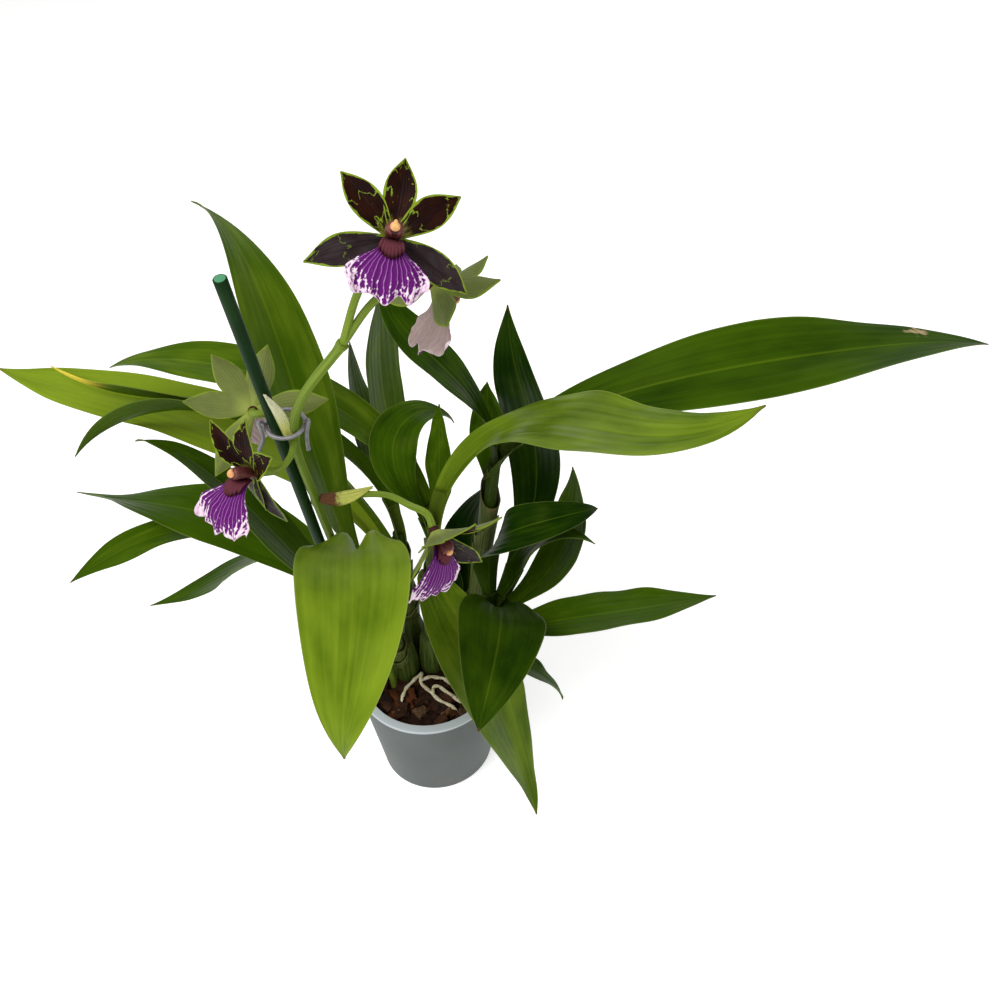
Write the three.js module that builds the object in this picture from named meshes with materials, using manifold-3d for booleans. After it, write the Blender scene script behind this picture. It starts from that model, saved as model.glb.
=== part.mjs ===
// A zygopetalum orchid in its pot. Millimetres, +Z up, origin at the centre of the pot's bottom.
// Bearings are degrees in plan: 0 is +X, 90 is +Y. Pitches are degrees above the horizontal.
import * as THREE from "three";
import { mergeVertices } from "three/addons/utils/BufferGeometryUtils.js";
import Module from "manifold-3d";

const wasm = await Module();
wasm.setup();

// ---- driving dimensions ----

const GAP = 0.35; // air between neighbouring pieces

const POT = {
  height: 100,
  rimRadius: 60,
  baseRadius: 49,
  rimWidth: 7,
  rimDepth: 5,
  wall: 2.5,
  floor: 3,
  drainHoles: 6,
  drainRadius: 4,
  drainCircle: 33,
};

const BARK = { level: 91, chips: 17, chipSize: 12, chipThickness: 6, seed: 7 };

const ROOT_RADIUS = 1.7;

const STAKE = { radius: 3.5, foot: [-41, 0, 20], soil: [-43, -16, 95], top: [-55, -110, 530] };

const LEAF = {
  thickness: 0.8,
  footShare: 0.3, // width of the folded foot against the blade's
  baseFold: 62, // half angle of the fold at the foot
  bladeFold: 10, // half angle of the fold where the blade is open
  jointShare: 0.12, // where the blade joins its sheathing base
  segments: 10,
};

const BULB = { radius: 12, sunk: 14, height: 38, neckRadius: 6.5, tipRadius: 4.6 };

// The five growths, each from the bark to where its youngest leaves part.
const GROWTHS = {
  left: { foot: [-20, 8, 95], top: [-28, -8, 180] },
  back: { foot: [-14, 36, 95], top: [-16, 52, 215] },
  middle: { foot: [4, 14, 95], top: [16, 28, 245] },
  tall: { foot: [34, 22, 95], top: [64, 40, 290] },
  right: { foot: [34, -4, 95], top: [58, 8, 165] },
};

// The stalk that carries the broad front leaf clear of the stake.
const FRONT_STALK = [-25, -68, 241];

// Leaves: growth, share of the way up it, length, width, then pitch, bearing and roll at the
// foot, one third, two thirds and the tip.
const LEAVES = [
  leaf("right_long", "tall", 0.95, 410, 56, [71, 7, 0, -21], [-32, -11, 18, 22], [32, 40, 28, -8]),
  leaf("right_front", "middle", 0.95, 375, 50, [80, 43, -2, 52], [16, -66, -79, -36], [74, 1, -5, 62]),
  leaf("back_left_tall", "left", 0.95, 365, 61, [68, 87, 74, 0], [165, 120, 94, 140], [54, 28, 17, 47]),
  leaf("left_light", "back", 0.5, 420, 61, [73, 22, -12, 9], [142, 159, 168, 157], [6, 0, -11, -21]),
  leaf("left_upper", "middle", 0.85, 335, 48, [84, 16, 23, -31], [106, 179, 175, 152], [7, 4, -7, -11]),
  leaf("left_yellow_tip", "back", 0.9, 360, 41, [94, -2, -15, 10], [121, 179, 176, 143], [11, 13, 29, 75]),
  leaf("left_curled", "back", 0.6, 355, 43, [82, 53, 5, -50], [166, 160, 163, 186], [36, 45, 49, 49]),
  leaf("left_mid_slim", "left", 0.7, 275, 51, [43, 78, 50, -29], [187, 158, 145, 146], [-8, 19, 33, 37]),
  leaf("left_mid", "left", 0.55, 325, 56, [66, 24, -21, -4], [152, 154, 165, 155], [-53, -35, -3, 44]),
  leaf("left_low", "left", 0.45, 315, 48, [59, 15, -12, -8], [131, 144, 183, 227], [65, 46, 8, -34]),
  leaf("left_lowest", "left", 0.3, 360, 45, [64, -31, -74, -7], [130, 135, 155, 188], [47, 17, 3, -11]),
  leaf("front_broad", FRONT_STALK, 0, 265, 66, [97, 81, -23, -89], [-106, -72, -69, -132], [2, -4, -10, -10]),
  leaf("centre_point", "back", 1, 170, 35, [27, 54, 81, 106], [102, 118, 130, 135], [13, 25, 31, 29]),
  leaf("centre_broad", "middle", 0.8, 255, 41, [8, 61, 109, 127], [102, 129, 124, 97], [24, 27, 26, 24]),
  leaf("right_dark_arch", "tall", 1, 170, 36, [96, 58, 22, 86], [150, 176, 182, 162], [24, 10, -20, -61]),
  leaf("right_upright", "right", 1, 310, 50, [12, 93, 132, 101], [61, 42, 54, 85], [21, 11, -6, -20]),
  leaf("right_bent", "right", 0.9, 190, 37, [97, 101, 32, -36], [-90, -66, -20, 52], [-11, 3, 24, 50]),
  leaf("right_pale_tip", "right", 0.9, 170, 45, [26, 51, 77, 106], [10, 15, 18, 20], [2, 6, 9, 9]),
  leaf("right_small_tip", "right", 1, 135, 31, [57, 83, 55, -4], [26, -4, -27, -41], [12, 14, 0, -32]),
  leaf("right_low", "right", 0.6, 200, 46, [46, 17, 3, -6], [-25, -11, 4, 16], [21, 0, -13, -13]),
  leaf("front_dark", "right", 0.9, 170, 66, [70, 41, -3, -60], [-64, -90, -100, -118], [-30, -18, -6, -8]),
  leaf("front_light", "middle", 0.62, 240, 70, [65, -70, -86, -37], [-101, -36, -33, -77], [4, -9, -24, -42]),
  leaf("right_short", "right", 0.45, 100, 30, [43, 11, -29, -83], [-57, -36, -18, -4], [-16, -27, -32, -25]),
  leaf("centre_curled", "middle", 0.97, 155, 36, [70, 60, 41, -70], [250, 130, 16, 20], [0, 15, 20, 0]),
  leaf("centre_light", "middle", 1, 95, 22, [60, 70, 72, 72], [60, 75, 80, 82], [17, 3, -17, -41]),
  leaf("centre_small", "tall", 0.85, 95, 30, [40, 70, 84, 96], [83, 88, 89, 80], [10, 6, -6, -29]),
  leaf("inner_tall", "tall", 0.12, 142, 54, [30, 92, 76, 62], [96, 95, 30, 10], [0, 0, 0, 0]),
  leaf("inner_middle", "middle", 0.12, 112, 34, [20, 92, 88, 84], [62, 66, 80, 80], [0, 0, 0, 0]),
];
// Leaves whose blade is widest nearer the foot than usual.
const EARLY_WIDEST = { front_dark: 0.5, front_light: 0.5 };
const WIDEST = 0.56;

const SPIKE = {
  radius: 2.7,
  stalkRadius: 1.8,
  ovaryRadius: 2.2,
  stem: [
    [-29, -6, 80],
    [-30, -8, 110],
    [-38, -31, 200],
    [-41, -57, 300],
    [-43, -75, 365],
    [-44, -89, 425],
    [-32, -103, 460],
    [-4, -116, 500],
  ],
};

// Blooms: hub, direction it faces as bearing and pitch, roll of its upright sepal about that
// direction, how far its sepals cup forward, how much further the lower two do, their bearing
// round the face, how far the lip cups and its bearing, the bloom's size against the usual, and
// the points its stalk passes on the way from the stem.
const BLOOMS = {
  bloom_top_front: {
    hub: [26, -119, 554],
    bearing: -76,
    pitch: 43,
    roll: -21,
    cup: 0,
    lowerCup: 0,
    spread: 115,
    lipCup: 6,
    lipTurn: 180,
    scale: 1,
    stalk: [[-4, -116, 500], [7, -109, 525]],
  },
  bloom_top_back: {
    hub: [39, -90, 515],
    bearing: 17,
    pitch: -49,
    roll: -20,
    cup: 30,
    lowerCup: -28,
    spread: 115,
    lipCup: 16,
    lipTurn: 180,
    scale: 0.95,
    stalk: [[-4, -116, 500], [12, -106, 516]],
  },
  bloom_left_back: {
    hub: [-68, -71, 431],
    bearing: 105,
    pitch: -25,
    roll: -23,
    cup: 0,
    lowerCup: 0,
    spread: 115,
    lipCup: 42,
    lipTurn: 180,
    scale: 1.06,
    stalk: [[-44, -89, 425], [-46, -82, 426], [-54, -78, 433]],
  },
  bloom_left_front: {
    hub: [-61, -118, 425],
    bearing: -128,
    pitch: 30,
    roll: -4,
    cup: 24,
    lowerCup: -62,
    spread: 165,
    lipCup: 14,
    lipTurn: 180,
    scale: 1,
    stalk: [[-44, -89, 425], [-45, -100, 421], [-51, -109, 419]],
  },
  bloom_centre: {
    hub: [28.5, -108, 368],
    bearing: -62,
    pitch: -38,
    roll: -18,
    cup: 11,
    lowerCup: 29,
    spread: 115,
    lipCup: 40,
    lipTurn: 170,
    scale: 1.12,
    stalk: [[-43, -75, 365], [-22, -79, 372], [1, -86, 377], [15, -96, 377]],
  },
};

// Sepals and petals: bearing round the face from the upright sepal, or the side of it for a lower
// sepal, then length, width, and how far they lean out of the face at the hub and at the tip.
const TEPALS = [
  { turn: 0, length: 36, width: 15, lean: 18, tipLean: -12 },
  { turn: 48, length: 36, width: 15, lean: 18, tipLean: -12 },
  { turn: -48, length: 36, width: 15, lean: 18, tipLean: -12 },
  { lower: 1, length: 40, width: 15, lean: 6, tipLean: -14 },
  { lower: -1, length: 40, width: 15, lean: 6, tipLean: -14 },
];
const TEPAL_THICKNESS = 0.9;
const HUB_RADIUS = 3;
const TEPAL_FOOT = 1.6; // where sepals and petals start, inside the hub
const LIP = { length: 40, width: 36, thickness: 0.9, lean: 52, tipLean: -42, wave: 1.6, waves: 4 };
const LIP_FOOT = HUB_RADIUS + 1.4; // where the lip starts, clear of the hub
// The column keeps above the lip by a share of the lip's own lift.
const COLUMN = { length: 12, radius: 2.8, lean: 6, lift: 0.6 };
const CALLUS = { width: 14, ridges: 4, radius: 1.8, length: 7 };

const BRACTS = {
  bract_low: { foot: [-39.6, -76.4, 370.6], length: 33, width: 10, pitch: 15, bearing: -8, roll: 180 },
  bract_upright: { foot: [-46.4, -93.4, 427.7], length: 40, width: 7.4, pitch: 74, bearing: -110, roll: 0 },
};

const CLIP = { wire: 1.1, height: 435, aside: 5.6, halfWidth: 10.8, halfDepth: 8.6 };

const COLOURS = {
  pot: 0x7d8686,
  bark: 0x2f1710,
  root: 0xcfc6a6,
  stake: 0x123d22,
  clip: 0x7a7580,
  growth: 0x5d8a1a,
  leaf: 0x5f8a14,
  spike: 0x8aa43c,
  bract: 0xcfd67a,
  tepal: 0x2e1016,
  lip: 0x7a2a8c,
  column: 0x8a3a40,
};

// ---- small helpers ----

function leaf(name, growth, at, length, width, pitch, bearing, roll) {
  return { name, growth, at, length, width, pitch, bearing, roll };
}

function vec(point) {
  return new THREE.Vector3(...point);
}

function direction(bearing, pitch) {
  const b = THREE.MathUtils.degToRad(bearing);
  const p = THREE.MathUtils.degToRad(pitch);
  return new THREE.Vector3(Math.cos(p) * Math.cos(b), Math.cos(p) * Math.sin(b), Math.sin(p));
}

function seededRandom(seed) {
  let state = seed;
  return () => {
    state = (state * 1664525 + 1013904223) % 4294967296;
    return state / 4294967296;
  };
}

function solid(geometry) {
  const bare = new THREE.BufferGeometry().setAttribute("position", geometry.getAttribute("position").clone());
  bare.setIndex(geometry.index);
  const merged = mergeVertices(bare, 1e-4);
  const mesh = new wasm.Mesh({
    numProp: 3,
    vertProperties: merged.attributes.position.array,
    triVerts: new Uint32Array(merged.index.array),
  });
  return new wasm.Manifold(mesh);
}

function joined(solids) {
  return solids.reduce((all, next) => all.add(next));
}

function geometryOf(body) {
  const mesh = body.getMesh();
  const geometry = new THREE.BufferGeometry();
  const stride = mesh.numProp;
  const positions = new Float32Array(mesh.numVert * 3);
  for (let i = 0; i < mesh.numVert; i++) {
    positions.set(mesh.vertProperties.subarray(i * stride, i * stride + 3), i * 3);
  }
  geometry.setAttribute("position", new THREE.BufferAttribute(positions, 3));
  geometry.setIndex(new THREE.BufferAttribute(mesh.triVerts, 1));
  return geometry;
}

// The outer skin of the largest body, without the crumbs a cut leaves or the pockets a join closes.
function largest(body) {
  return body.decompose().reduce((a, b) => (b.volume() > a.volume() ? b : a));
}

// A closed plate from two grids of points that have the same rows and columns.
function plate(upper, lower) {
  const rows = upper.length;
  const columns = upper[0].length;
  const positions = [];
  for (const grid of [upper, lower]) {
    for (const row of grid) {
      for (const point of row) positions.push(point.x, point.y, point.z);
    }
  }
  const at = (face, i, j) => face * rows * columns + i * columns + j;
  const faces = [];
  const quad = (a, b, c, d) => faces.push(a, b, c, a, c, d);
  for (let i = 0; i < rows - 1; i++) {
    for (let j = 0; j < columns - 1; j++) {
      quad(at(0, i, j), at(0, i, j + 1), at(0, i + 1, j + 1), at(0, i + 1, j));
      faces.push(at(1, i, j), at(1, i + 1, j + 1), at(1, i, j + 1));
      faces.push(at(1, i, j), at(1, i + 1, j), at(1, i + 1, j + 1));
    }
    quad(at(0, i, 0), at(0, i + 1, 0), at(1, i + 1, 0), at(1, i, 0));
    quad(at(0, i + 1, columns - 1), at(0, i, columns - 1), at(1, i, columns - 1), at(1, i + 1, columns - 1));
  }
  for (let j = 0; j < columns - 1; j++) {
    quad(at(0, 0, j + 1), at(0, 0, j), at(1, 0, j), at(1, 0, j + 1));
    quad(at(0, rows - 1, j), at(0, rows - 1, j + 1), at(1, rows - 1, j + 1), at(1, rows - 1, j));
  }
  const geometry = new THREE.BufferGeometry();
  geometry.setAttribute("position", new THREE.Float32BufferAttribute(positions, 3));
  geometry.setIndex(faces);
  const body = solid(geometry);
  return body.volume() < 0 ? solid(flipped(geometry)) : body;
}

function flipped(geometry) {
  const faces = Array.from(geometry.index.array);
  for (let i = 0; i < faces.length; i += 3) {
    [faces[i + 1], faces[i + 2]] = [faces[i + 2], faces[i + 1]];
  }
  geometry.setIndex(faces);
  return geometry;
}

// A round bar whose radius changes from point to point.
function loft(points, radii, sides = 8) {
  const positions = [];
  const faces = [];
  let side = new THREE.Vector3(1, 0, 0);
  points.forEach((point, i) => {
    const ahead = points[Math.min(i + 1, points.length - 1)];
    const behind = points[Math.max(i - 1, 0)];
    const along = ahead.clone().sub(behind).normalize();
    if (i === 0 && Math.abs(along.dot(side)) > 0.9) side = new THREE.Vector3(0, 1, 0);
    side = side.clone().addScaledVector(along, -side.dot(along)).normalize();
    const other = along.clone().cross(side);
    for (let k = 0; k < sides; k++) {
      const turn = (2 * Math.PI * k) / sides;
      const corner = point.clone();
      corner.addScaledVector(side, radii[i] * Math.cos(turn));
      corner.addScaledVector(other, radii[i] * Math.sin(turn));
      positions.push(corner.x, corner.y, corner.z);
    }
  });
  const last = (points.length - 1) * sides;
  for (let i = 0; i < points.length - 1; i++) {
    for (let k = 0; k < sides; k++) {
      const a = i * sides + k;
      const b = i * sides + ((k + 1) % sides);
      faces.push(a, b, b + sides, a, b + sides, a + sides);
    }
  }
  for (let k = 1; k < sides - 1; k++) {
    faces.push(0, k + 1, k);
    faces.push(last, last + k, last + k + 1);
  }
  const geometry = new THREE.BufferGeometry();
  geometry.setAttribute("position", new THREE.Float32BufferAttribute(positions, 3));
  geometry.setIndex(faces);
  return solid(geometry);
}

// A round bar of one radius along a smooth curve through the knots.
function tube(knots, radius, steps, sides = 8) {
  const corners = Array.from({ length: sides }, (_, k) => {
    const turn = (2 * Math.PI * k) / sides;
    return new THREE.Vector2(radius * Math.cos(turn), radius * Math.sin(turn));
  });
  const path = new THREE.CatmullRomCurve3(knots.map(vec));
  return solid(new THREE.ExtrudeGeometry(new THREE.Shape(corners), { steps, extrudePath: path }));
}

function ball(centre, radius) {
  return solid(new THREE.IcosahedronGeometry(radius).translate(...centre.toArray()));
}

function lathe(profile, segments) {
  const points = profile.map(([r, z]) => new THREE.Vector2(r, z));
  return solid(new THREE.LatheGeometry(points, segments).rotateX(Math.PI / 2));
}

// ---- blades ----

function bezier(values, s) {
  const r = 1 - s;
  return values[0] * r ** 3 + values[1] * 3 * s * r * r + values[2] * 3 * s * s * r + values[3] * s ** 3;
}

// Half width of a leaf at share s of its length, against half its greatest width.
function leafOutline(s, widest) {
  if (s < widest) {
    const rise = Math.sin((Math.PI / 2) * (s / widest) ** 1.15) ** 2;
    return LEAF.footShare + (1 - LEAF.footShare) * rise;
  }
  const u = (s - widest) / (1 - widest);
  return Math.max((1 - u ** 2.2) * (1 - 0.22 * u), 0.015);
}

function leafFold(s) {
  const closed = Math.max(1 - s / 0.45, 0) ** 2;
  return THREE.MathUtils.degToRad(LEAF.bladeFold + (LEAF.baseFold - LEAF.bladeFold) * closed);
}

function footOf(blade) {
  if (Array.isArray(blade.growth)) return vec(blade.growth);
  const { foot, top } = GROWTHS[blade.growth];
  return vec(foot).lerp(vec(top), blade.at);
}

// Where the midrib runs, with the directions across the blade and out of its upper face.
function leafFrames(blade, shares) {
  const steps = 48;
  const place = footOf(blade);
  const path = [place.clone()];
  for (let i = 0; i < steps; i++) {
    const s = (i + 0.5) / steps;
    place.addScaledVector(direction(bezier(blade.bearing, s), bezier(blade.pitch, s)), blade.length / steps);
    path.push(place.clone());
  }
  return shares.map((s) => {
    const b = bezier(blade.bearing, s);
    const p = bezier(blade.pitch, s);
    const roll = THREE.MathUtils.degToRad(bezier(blade.roll, s));
    const level = direction(b + 90, 0);
    const up = direction(b, p + 90);
    const across = level.clone().multiplyScalar(Math.cos(roll)).addScaledVector(up, Math.sin(roll));
    const out = up.clone().multiplyScalar(Math.cos(roll)).addScaledVector(level, -Math.sin(roll));
    const i = Math.min(Math.floor(s * steps), steps - 1);
    const point = path[i].clone().lerp(path[i + 1], s * steps - i);
    return { s, point, across, out };
  });
}

// A thin plate that follows the frames, folded along its midrib.
function bladeBody(frames, halfWidth, foldAt, thickness) {
  const upper = [];
  const lower = [];
  for (const frame of frames) {
    const half = halfWidth(frame.s);
    const fold = foldAt(frame.s);
    const top = [];
    const under = [];
    for (const side of [-1, 0, 1]) {
      const wing = frame.across.clone().multiplyScalar(side * Math.cos(fold));
      wing.addScaledVector(frame.out, Math.sin(fold));
      const point = frame.point.clone();
      if (side) point.addScaledVector(wing, half);
      const down = frame.out.clone().multiplyScalar(side ? Math.cos(fold) : 1 / Math.cos(fold));
      if (side) down.addScaledVector(frame.across, -side * Math.sin(fold));
      top.push(point);
      under.push(point.clone().addScaledVector(down, -thickness));
    }
    upper.push(top);
    lower.push(under);
  }
  return plate(upper, lower);
}

function leafPiece(blade, from, to, segments) {
  const shares = Array.from({ length: segments + 1 }, (_, i) => from + ((to - from) * i) / segments);
  const widest = EARLY_WIDEST[blade.name] ?? WIDEST;
  const halfWidth = (s) => (blade.width / 2) * leafOutline(s, widest);
  return bladeBody(leafFrames(blade, shares), halfWidth, leafFold, LEAF.thickness);
}

function leafBlade(blade) {
  return leafPiece(blade, LEAF.jointShare + GAP / 2 / blade.length, 1, LEAF.segments);
}

function leafBase(blade) {
  return leafPiece(blade, 0, LEAF.jointShare - GAP / 2 / blade.length, 1);
}

// ---- pot, bark and roots ----

function potInside(clearance) {
  const { height, rimRadius, baseRadius, rimWidth, rimDepth, wall, floor } = POT;
  return [
    [0, floor + clearance],
    [baseRadius - wall - 2 - clearance, floor + clearance],
    [baseRadius - wall - clearance, floor + 3],
    [rimRadius - wall - 1.4 - clearance, height - rimDepth - 4 - clearance],
    [rimRadius - rimWidth - clearance, height - rimDepth - clearance / 2],
  ];
}

function potBody() {
  const { height, rimRadius, baseRadius, rimWidth, drainHoles, drainRadius, drainCircle, floor } = POT;
  const outside = [
    [0, 0],
    [baseRadius - 2, 0],
    [baseRadius - 0.6, 0.6],
    [baseRadius, 2],
    [rimRadius - 0.2, height - 1.5],
    [rimRadius - 1, height],
    [rimRadius - rimWidth + 0.8, height],
    [rimRadius - rimWidth, height - 0.8],
  ];
  let body = lathe([...outside, ...potInside(0).reverse()], 32);
  for (let i = 0; i < drainHoles; i++) {
    const turn = (2 * Math.PI * (i + 0.5)) / drainHoles;
    const hole = new THREE.CylinderGeometry(drainRadius, drainRadius, 3 * floor, 12).rotateX(Math.PI / 2);
    hole.translate(drainCircle * Math.cos(turn), drainCircle * Math.sin(turn), 0);
    body = body.subtract(solid(hole));
  }
  return body;
}

// One chip of bark: a box with each corner pushed a little way.
function chip(random) {
  const { chipSize, chipThickness, level } = BARK;
  const size = chipSize * (0.7 + 0.6 * random());
  const depth = size * (0.5 + 0.4 * random());
  const box = new THREE.BoxGeometry(size, depth, chipThickness * (0.7 + 0.6 * random()));
  const bare = new THREE.BufferGeometry().setAttribute("position", box.getAttribute("position"));
  const merged = mergeVertices(bare.setIndex(box.index));
  const corners = merged.attributes.position;
  for (let i = 0; i < corners.count; i++) {
    corners.setX(i, corners.getX(i) + (random() - 0.5) * 0.3 * size);
    corners.setY(i, corners.getY(i) + (random() - 0.5) * 0.3 * size);
  }
  merged.rotateX((random() - 0.5) * 0.9);
  merged.rotateY((random() - 0.5) * 0.9);
  merged.rotateZ(random() * Math.PI);
  const limit = POT.rimRadius - POT.rimWidth - 0.75 * size;
  const away = limit * Math.sqrt(random());
  const turn = random() * 2 * Math.PI;
  return merged.translate(away * Math.cos(turn), away * Math.sin(turn), level + 2.4 * random() - 0.2);
}

const ROOTS = [
  [[-6, 0, 100], [-7, -7, 98.5], [-2, -14, 97.5], [3, -21, 98.5], [9, -27, 98.5], [24, -38, 97.5]],
  [[3, -21, 98.5], [5, -14, 98.8], [10, -15, 98.5], [18, -22, 98], [27, -31, 97.5]],
  [[-6, 0, 100], [-14, -8, 98.5], [-20, -16, 97.5], [-22, -26, 96.5]],
  [[-7, -7, 98.5], [2, -4, 99], [12, -6, 98.5], [19, -12, 98]],
];

function rootsBody(swell) {
  return joined(ROOTS.map((knots) => tube(knots, ROOT_RADIUS + swell, 8, 4)));
}

// ---- growths ----

function bulbProfile(swell) {
  const { radius, sunk, height, neckRadius } = BULB;
  const rows = 3;
  const profile = [[0, -sunk - swell]];
  for (let i = 0; i <= rows; i++) {
    const t = i / rows;
    const swollen = Math.sin(Math.PI * Math.min(t * 0.62 + 0.22, 1));
    const r = neckRadius + (radius - neckRadius) * swollen ** 1.5;
    profile.push([r + swell, -sunk + (height + sunk) * t]);
  }
  profile.push([0, height]);
  return profile;
}

function bulb(growth, swell) {
  const [x, y, z] = growth.foot;
  return lathe(bulbProfile(swell), 7).translate([x, y, z]);
}

function growthBody(name) {
  const growth = GROWTHS[name];
  const foot = vec(growth.foot);
  const top = vec(growth.top);
  const shares = [0.12, 0.35, 0.6, 0.85, 1];
  const neck = shares.map((t) => foot.clone().lerp(top, t));
  const radii = shares.map((t) => THREE.MathUtils.lerp(BULB.neckRadius + 1, BULB.tipRadius, t));
  const parts = [bulb(growth, 0), loft(neck, radii, 6)];
  for (const share of [0.32, 0.62]) {
    const low = foot.clone().lerp(top, share);
    const high = foot.clone().lerp(top, share + 0.13);
    const width = THREE.MathUtils.lerp(BULB.neckRadius + 1, BULB.tipRadius, share);
    parts.push(loft([low, high], [width * 0.8, width + 1.6], 5));
  }
  if (name === "left") {
    const stalk = [top.clone().lerp(foot, 0.2), top.clone().lerp(vec(FRONT_STALK), 0.35), vec(FRONT_STALK)];
    parts.push(loft(stalk, [4.6, 4.6, 4]));
  }
  for (const blade of LEAVES) {
    const own = blade.growth === name || (name === "left" && blade.growth === FRONT_STALK);
    if (own) parts.push(leafBase(blade));
  }
  return joined(parts);
}

// ---- spike, bracts, stake and clip ----

function spikeStem(swell) {
  return tube(SPIKE.stem, SPIKE.radius + swell, 15, 6);
}

function spikeBody() {
  const { radius, stalkRadius, ovaryRadius, stem } = SPIKE;
  const parts = [spikeStem(0)];
  for (const bloom of Object.values(BLOOMS)) {
    const facing = direction(bloom.bearing, bloom.pitch);
    const end = vec(bloom.hub).addScaledVector(facing, -HUB_RADIUS - GAP);
    const before = vec(bloom.hub).addScaledVector(facing, -HUB_RADIUS - 7);
    const knots = [...bloom.stalk, before.toArray(), end.toArray()];
    parts.push(tube(knots, stalkRadius, 5, 4));
    parts.push(loft([vec(bloom.stalk.at(-1)), before, end], [stalkRadius, ovaryRadius, ovaryRadius], 5));
  }
  for (const knot of [stem[4], stem[5], stem[7]]) parts.push(ball(vec(knot), radius + 0.6));
  return joined(parts);
}

function bractBody(bract) {
  const shares = [0, 0.25, 0.5, 0.75, 1];
  const blade = {
    growth: bract.foot,
    length: bract.length,
    bearing: Array(4).fill(bract.bearing),
    pitch: Array(4).fill(bract.pitch),
    roll: Array(4).fill(bract.roll),
  };
  const halfWidth = (s) => (bract.width / 2) * Math.max(Math.sin(Math.PI * (0.2 + 0.78 * s)), 0.15);
  return bladeBody(leafFrames(blade, shares), halfWidth, () => THREE.MathUtils.degToRad(38), LEAF.thickness);
}

function stakeBody(swell) {
  const { radius, foot, soil, top } = STAKE;
  const along = vec(top).sub(vec(soil)).normalize();
  const start = vec(soil).addScaledVector(along, -(soil[2] - foot[2]) / along.z - swell);
  const length = vec(top).sub(start).length() + swell;
  const bar = new THREE.CylinderGeometry(radius + swell, radius + swell, length, 16);
  bar.translate(0, length / 2, 0);
  bar.applyQuaternion(new THREE.Quaternion().setFromUnitVectors(new THREE.Vector3(0, 1, 0), along));
  return solid(bar.translate(...start.toArray()));
}

// A wire ring round the stake and the spike, with a hooked handle on each side.
function clipBody() {
  const { soil, top } = STAKE;
  const along = vec(top).sub(vec(soil)).normalize();
  const share = (CLIP.height - soil[2]) / (top[2] - soil[2]);
  const middle = vec(soil).lerp(vec(top), share).add(new THREE.Vector3(CLIP.aside, 0, 0));
  const across = new THREE.Vector3(1, 0, 0).addScaledVector(along, -along.x).normalize();
  const front = across.clone().cross(along).normalize();
  const place = (x, y, z) => {
    const point = middle.clone().addScaledVector(across, x);
    return point.addScaledVector(front, y).addScaledVector(along, z).toArray();
  };
  const { halfWidth: reach, halfDepth: depth } = CLIP;
  const ring = [];
  for (let i = 0; i <= 12; i++) {
    const turn = (2 * Math.PI * i) / 12;
    ring.push(place(reach * Math.cos(turn), depth * Math.sin(turn), -2 * Math.sin(turn)));
  }
  const left = [[-reach, 0, 0], [-reach - 2, 3, 6], [-reach - 2, 5, -5], [-reach - 6, 6, -13]];
  const right = [[reach, 0, 0], [reach + 3, 3, 5], [reach, 5, -6], [reach - 1, 6, -15]];
  const handles = [left, right].map((knots) => knots.map((knot) => place(...knot)));
  const wires = [ring, ...handles].map((knots) => tube(knots, CLIP.wire, knots.length + 4, 4));
  return joined(wires);
}

// ---- blooms ----

// The face of a bloom: right and up lie in it, out is the way it faces.
function faceOf(bloom) {
  const out = direction(bloom.bearing, bloom.pitch);
  const right = direction(bloom.bearing + 90, 0);
  const up = out.clone().cross(right);
  const roll = THREE.MathUtils.degToRad(bloom.roll);
  return {
    out,
    right: right.clone().multiplyScalar(Math.cos(roll)).addScaledVector(up, Math.sin(roll)),
    up: up.clone().multiplyScalar(Math.cos(roll)).addScaledVector(right, -Math.sin(roll)),
  };
}

// Frames of a blade that leaves the hub at an angle round the face, leaning out of the face by
// degrees that change from its foot to its tip.
function petalFrames(bloom, turn, length, lean, tipLean, from, segments) {
  const face = faceOf(bloom);
  const angle = THREE.MathUtils.degToRad(turn);
  const radial = face.up.clone().multiplyScalar(Math.cos(angle));
  radial.addScaledVector(face.right, -Math.sin(angle));
  const across = face.out.clone().cross(radial);
  const place = vec(bloom.hub);
  const frames = [];
  for (let i = 0; i <= segments; i++) {
    const s = i / segments;
    const lift = THREE.MathUtils.degToRad(THREE.MathUtils.lerp(lean, tipLean, s));
    const along = radial.clone().multiplyScalar(Math.cos(lift)).addScaledVector(face.out, Math.sin(lift));
    const out = face.out.clone().multiplyScalar(Math.cos(lift)).addScaledVector(radial, -Math.sin(lift));
    if (i === 0) place.addScaledVector(along, from);
    else place.addScaledVector(along, (length - from) / segments);
    frames.push({ s, point: place.clone(), across: across.clone(), out });
  }
  return frames;
}

function tepalOutline(s) {
  const swell = Math.sin(Math.PI * Math.min(s / 1.16 + 0.01, 1)) ** 1.2;
  return (0.22 + 0.78 * swell) * (1 - s ** 5) + 0.04;
}

function tepalsBody(bloom) {
  const parts = [ball(vec(bloom.hub), HUB_RADIUS)];
  for (const { turn, lower, length, width, lean, tipLean } of TEPALS) {
    const cup = bloom.cup + (lower ? bloom.lowerCup : 0);
    const around = lower ? lower * bloom.spread : turn;
    const frames = petalFrames(bloom, around, length * bloom.scale, lean + cup, tipLean + cup, TEPAL_FOOT, 4);
    const halfWidth = (s) => (width / 2) * bloom.scale * tepalOutline(s);
    parts.push(bladeBody(frames, halfWidth, () => THREE.MathUtils.degToRad(14), TEPAL_THICKNESS));
  }
  return joined(parts);
}

function lipOutline(s) {
  return 0.2 + 0.8 * Math.sin((Math.PI / 2) * Math.min(s / 0.82, 1)) ** 2;
}

function lipFrames(bloom) {
  const { length, lean, tipLean } = LIP;
  const leans = [lean + bloom.lipCup, tipLean + bloom.lipCup];
  return petalFrames(bloom, bloom.lipTurn, length * bloom.scale, ...leans, LIP_FOOT, 5);
}

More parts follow.
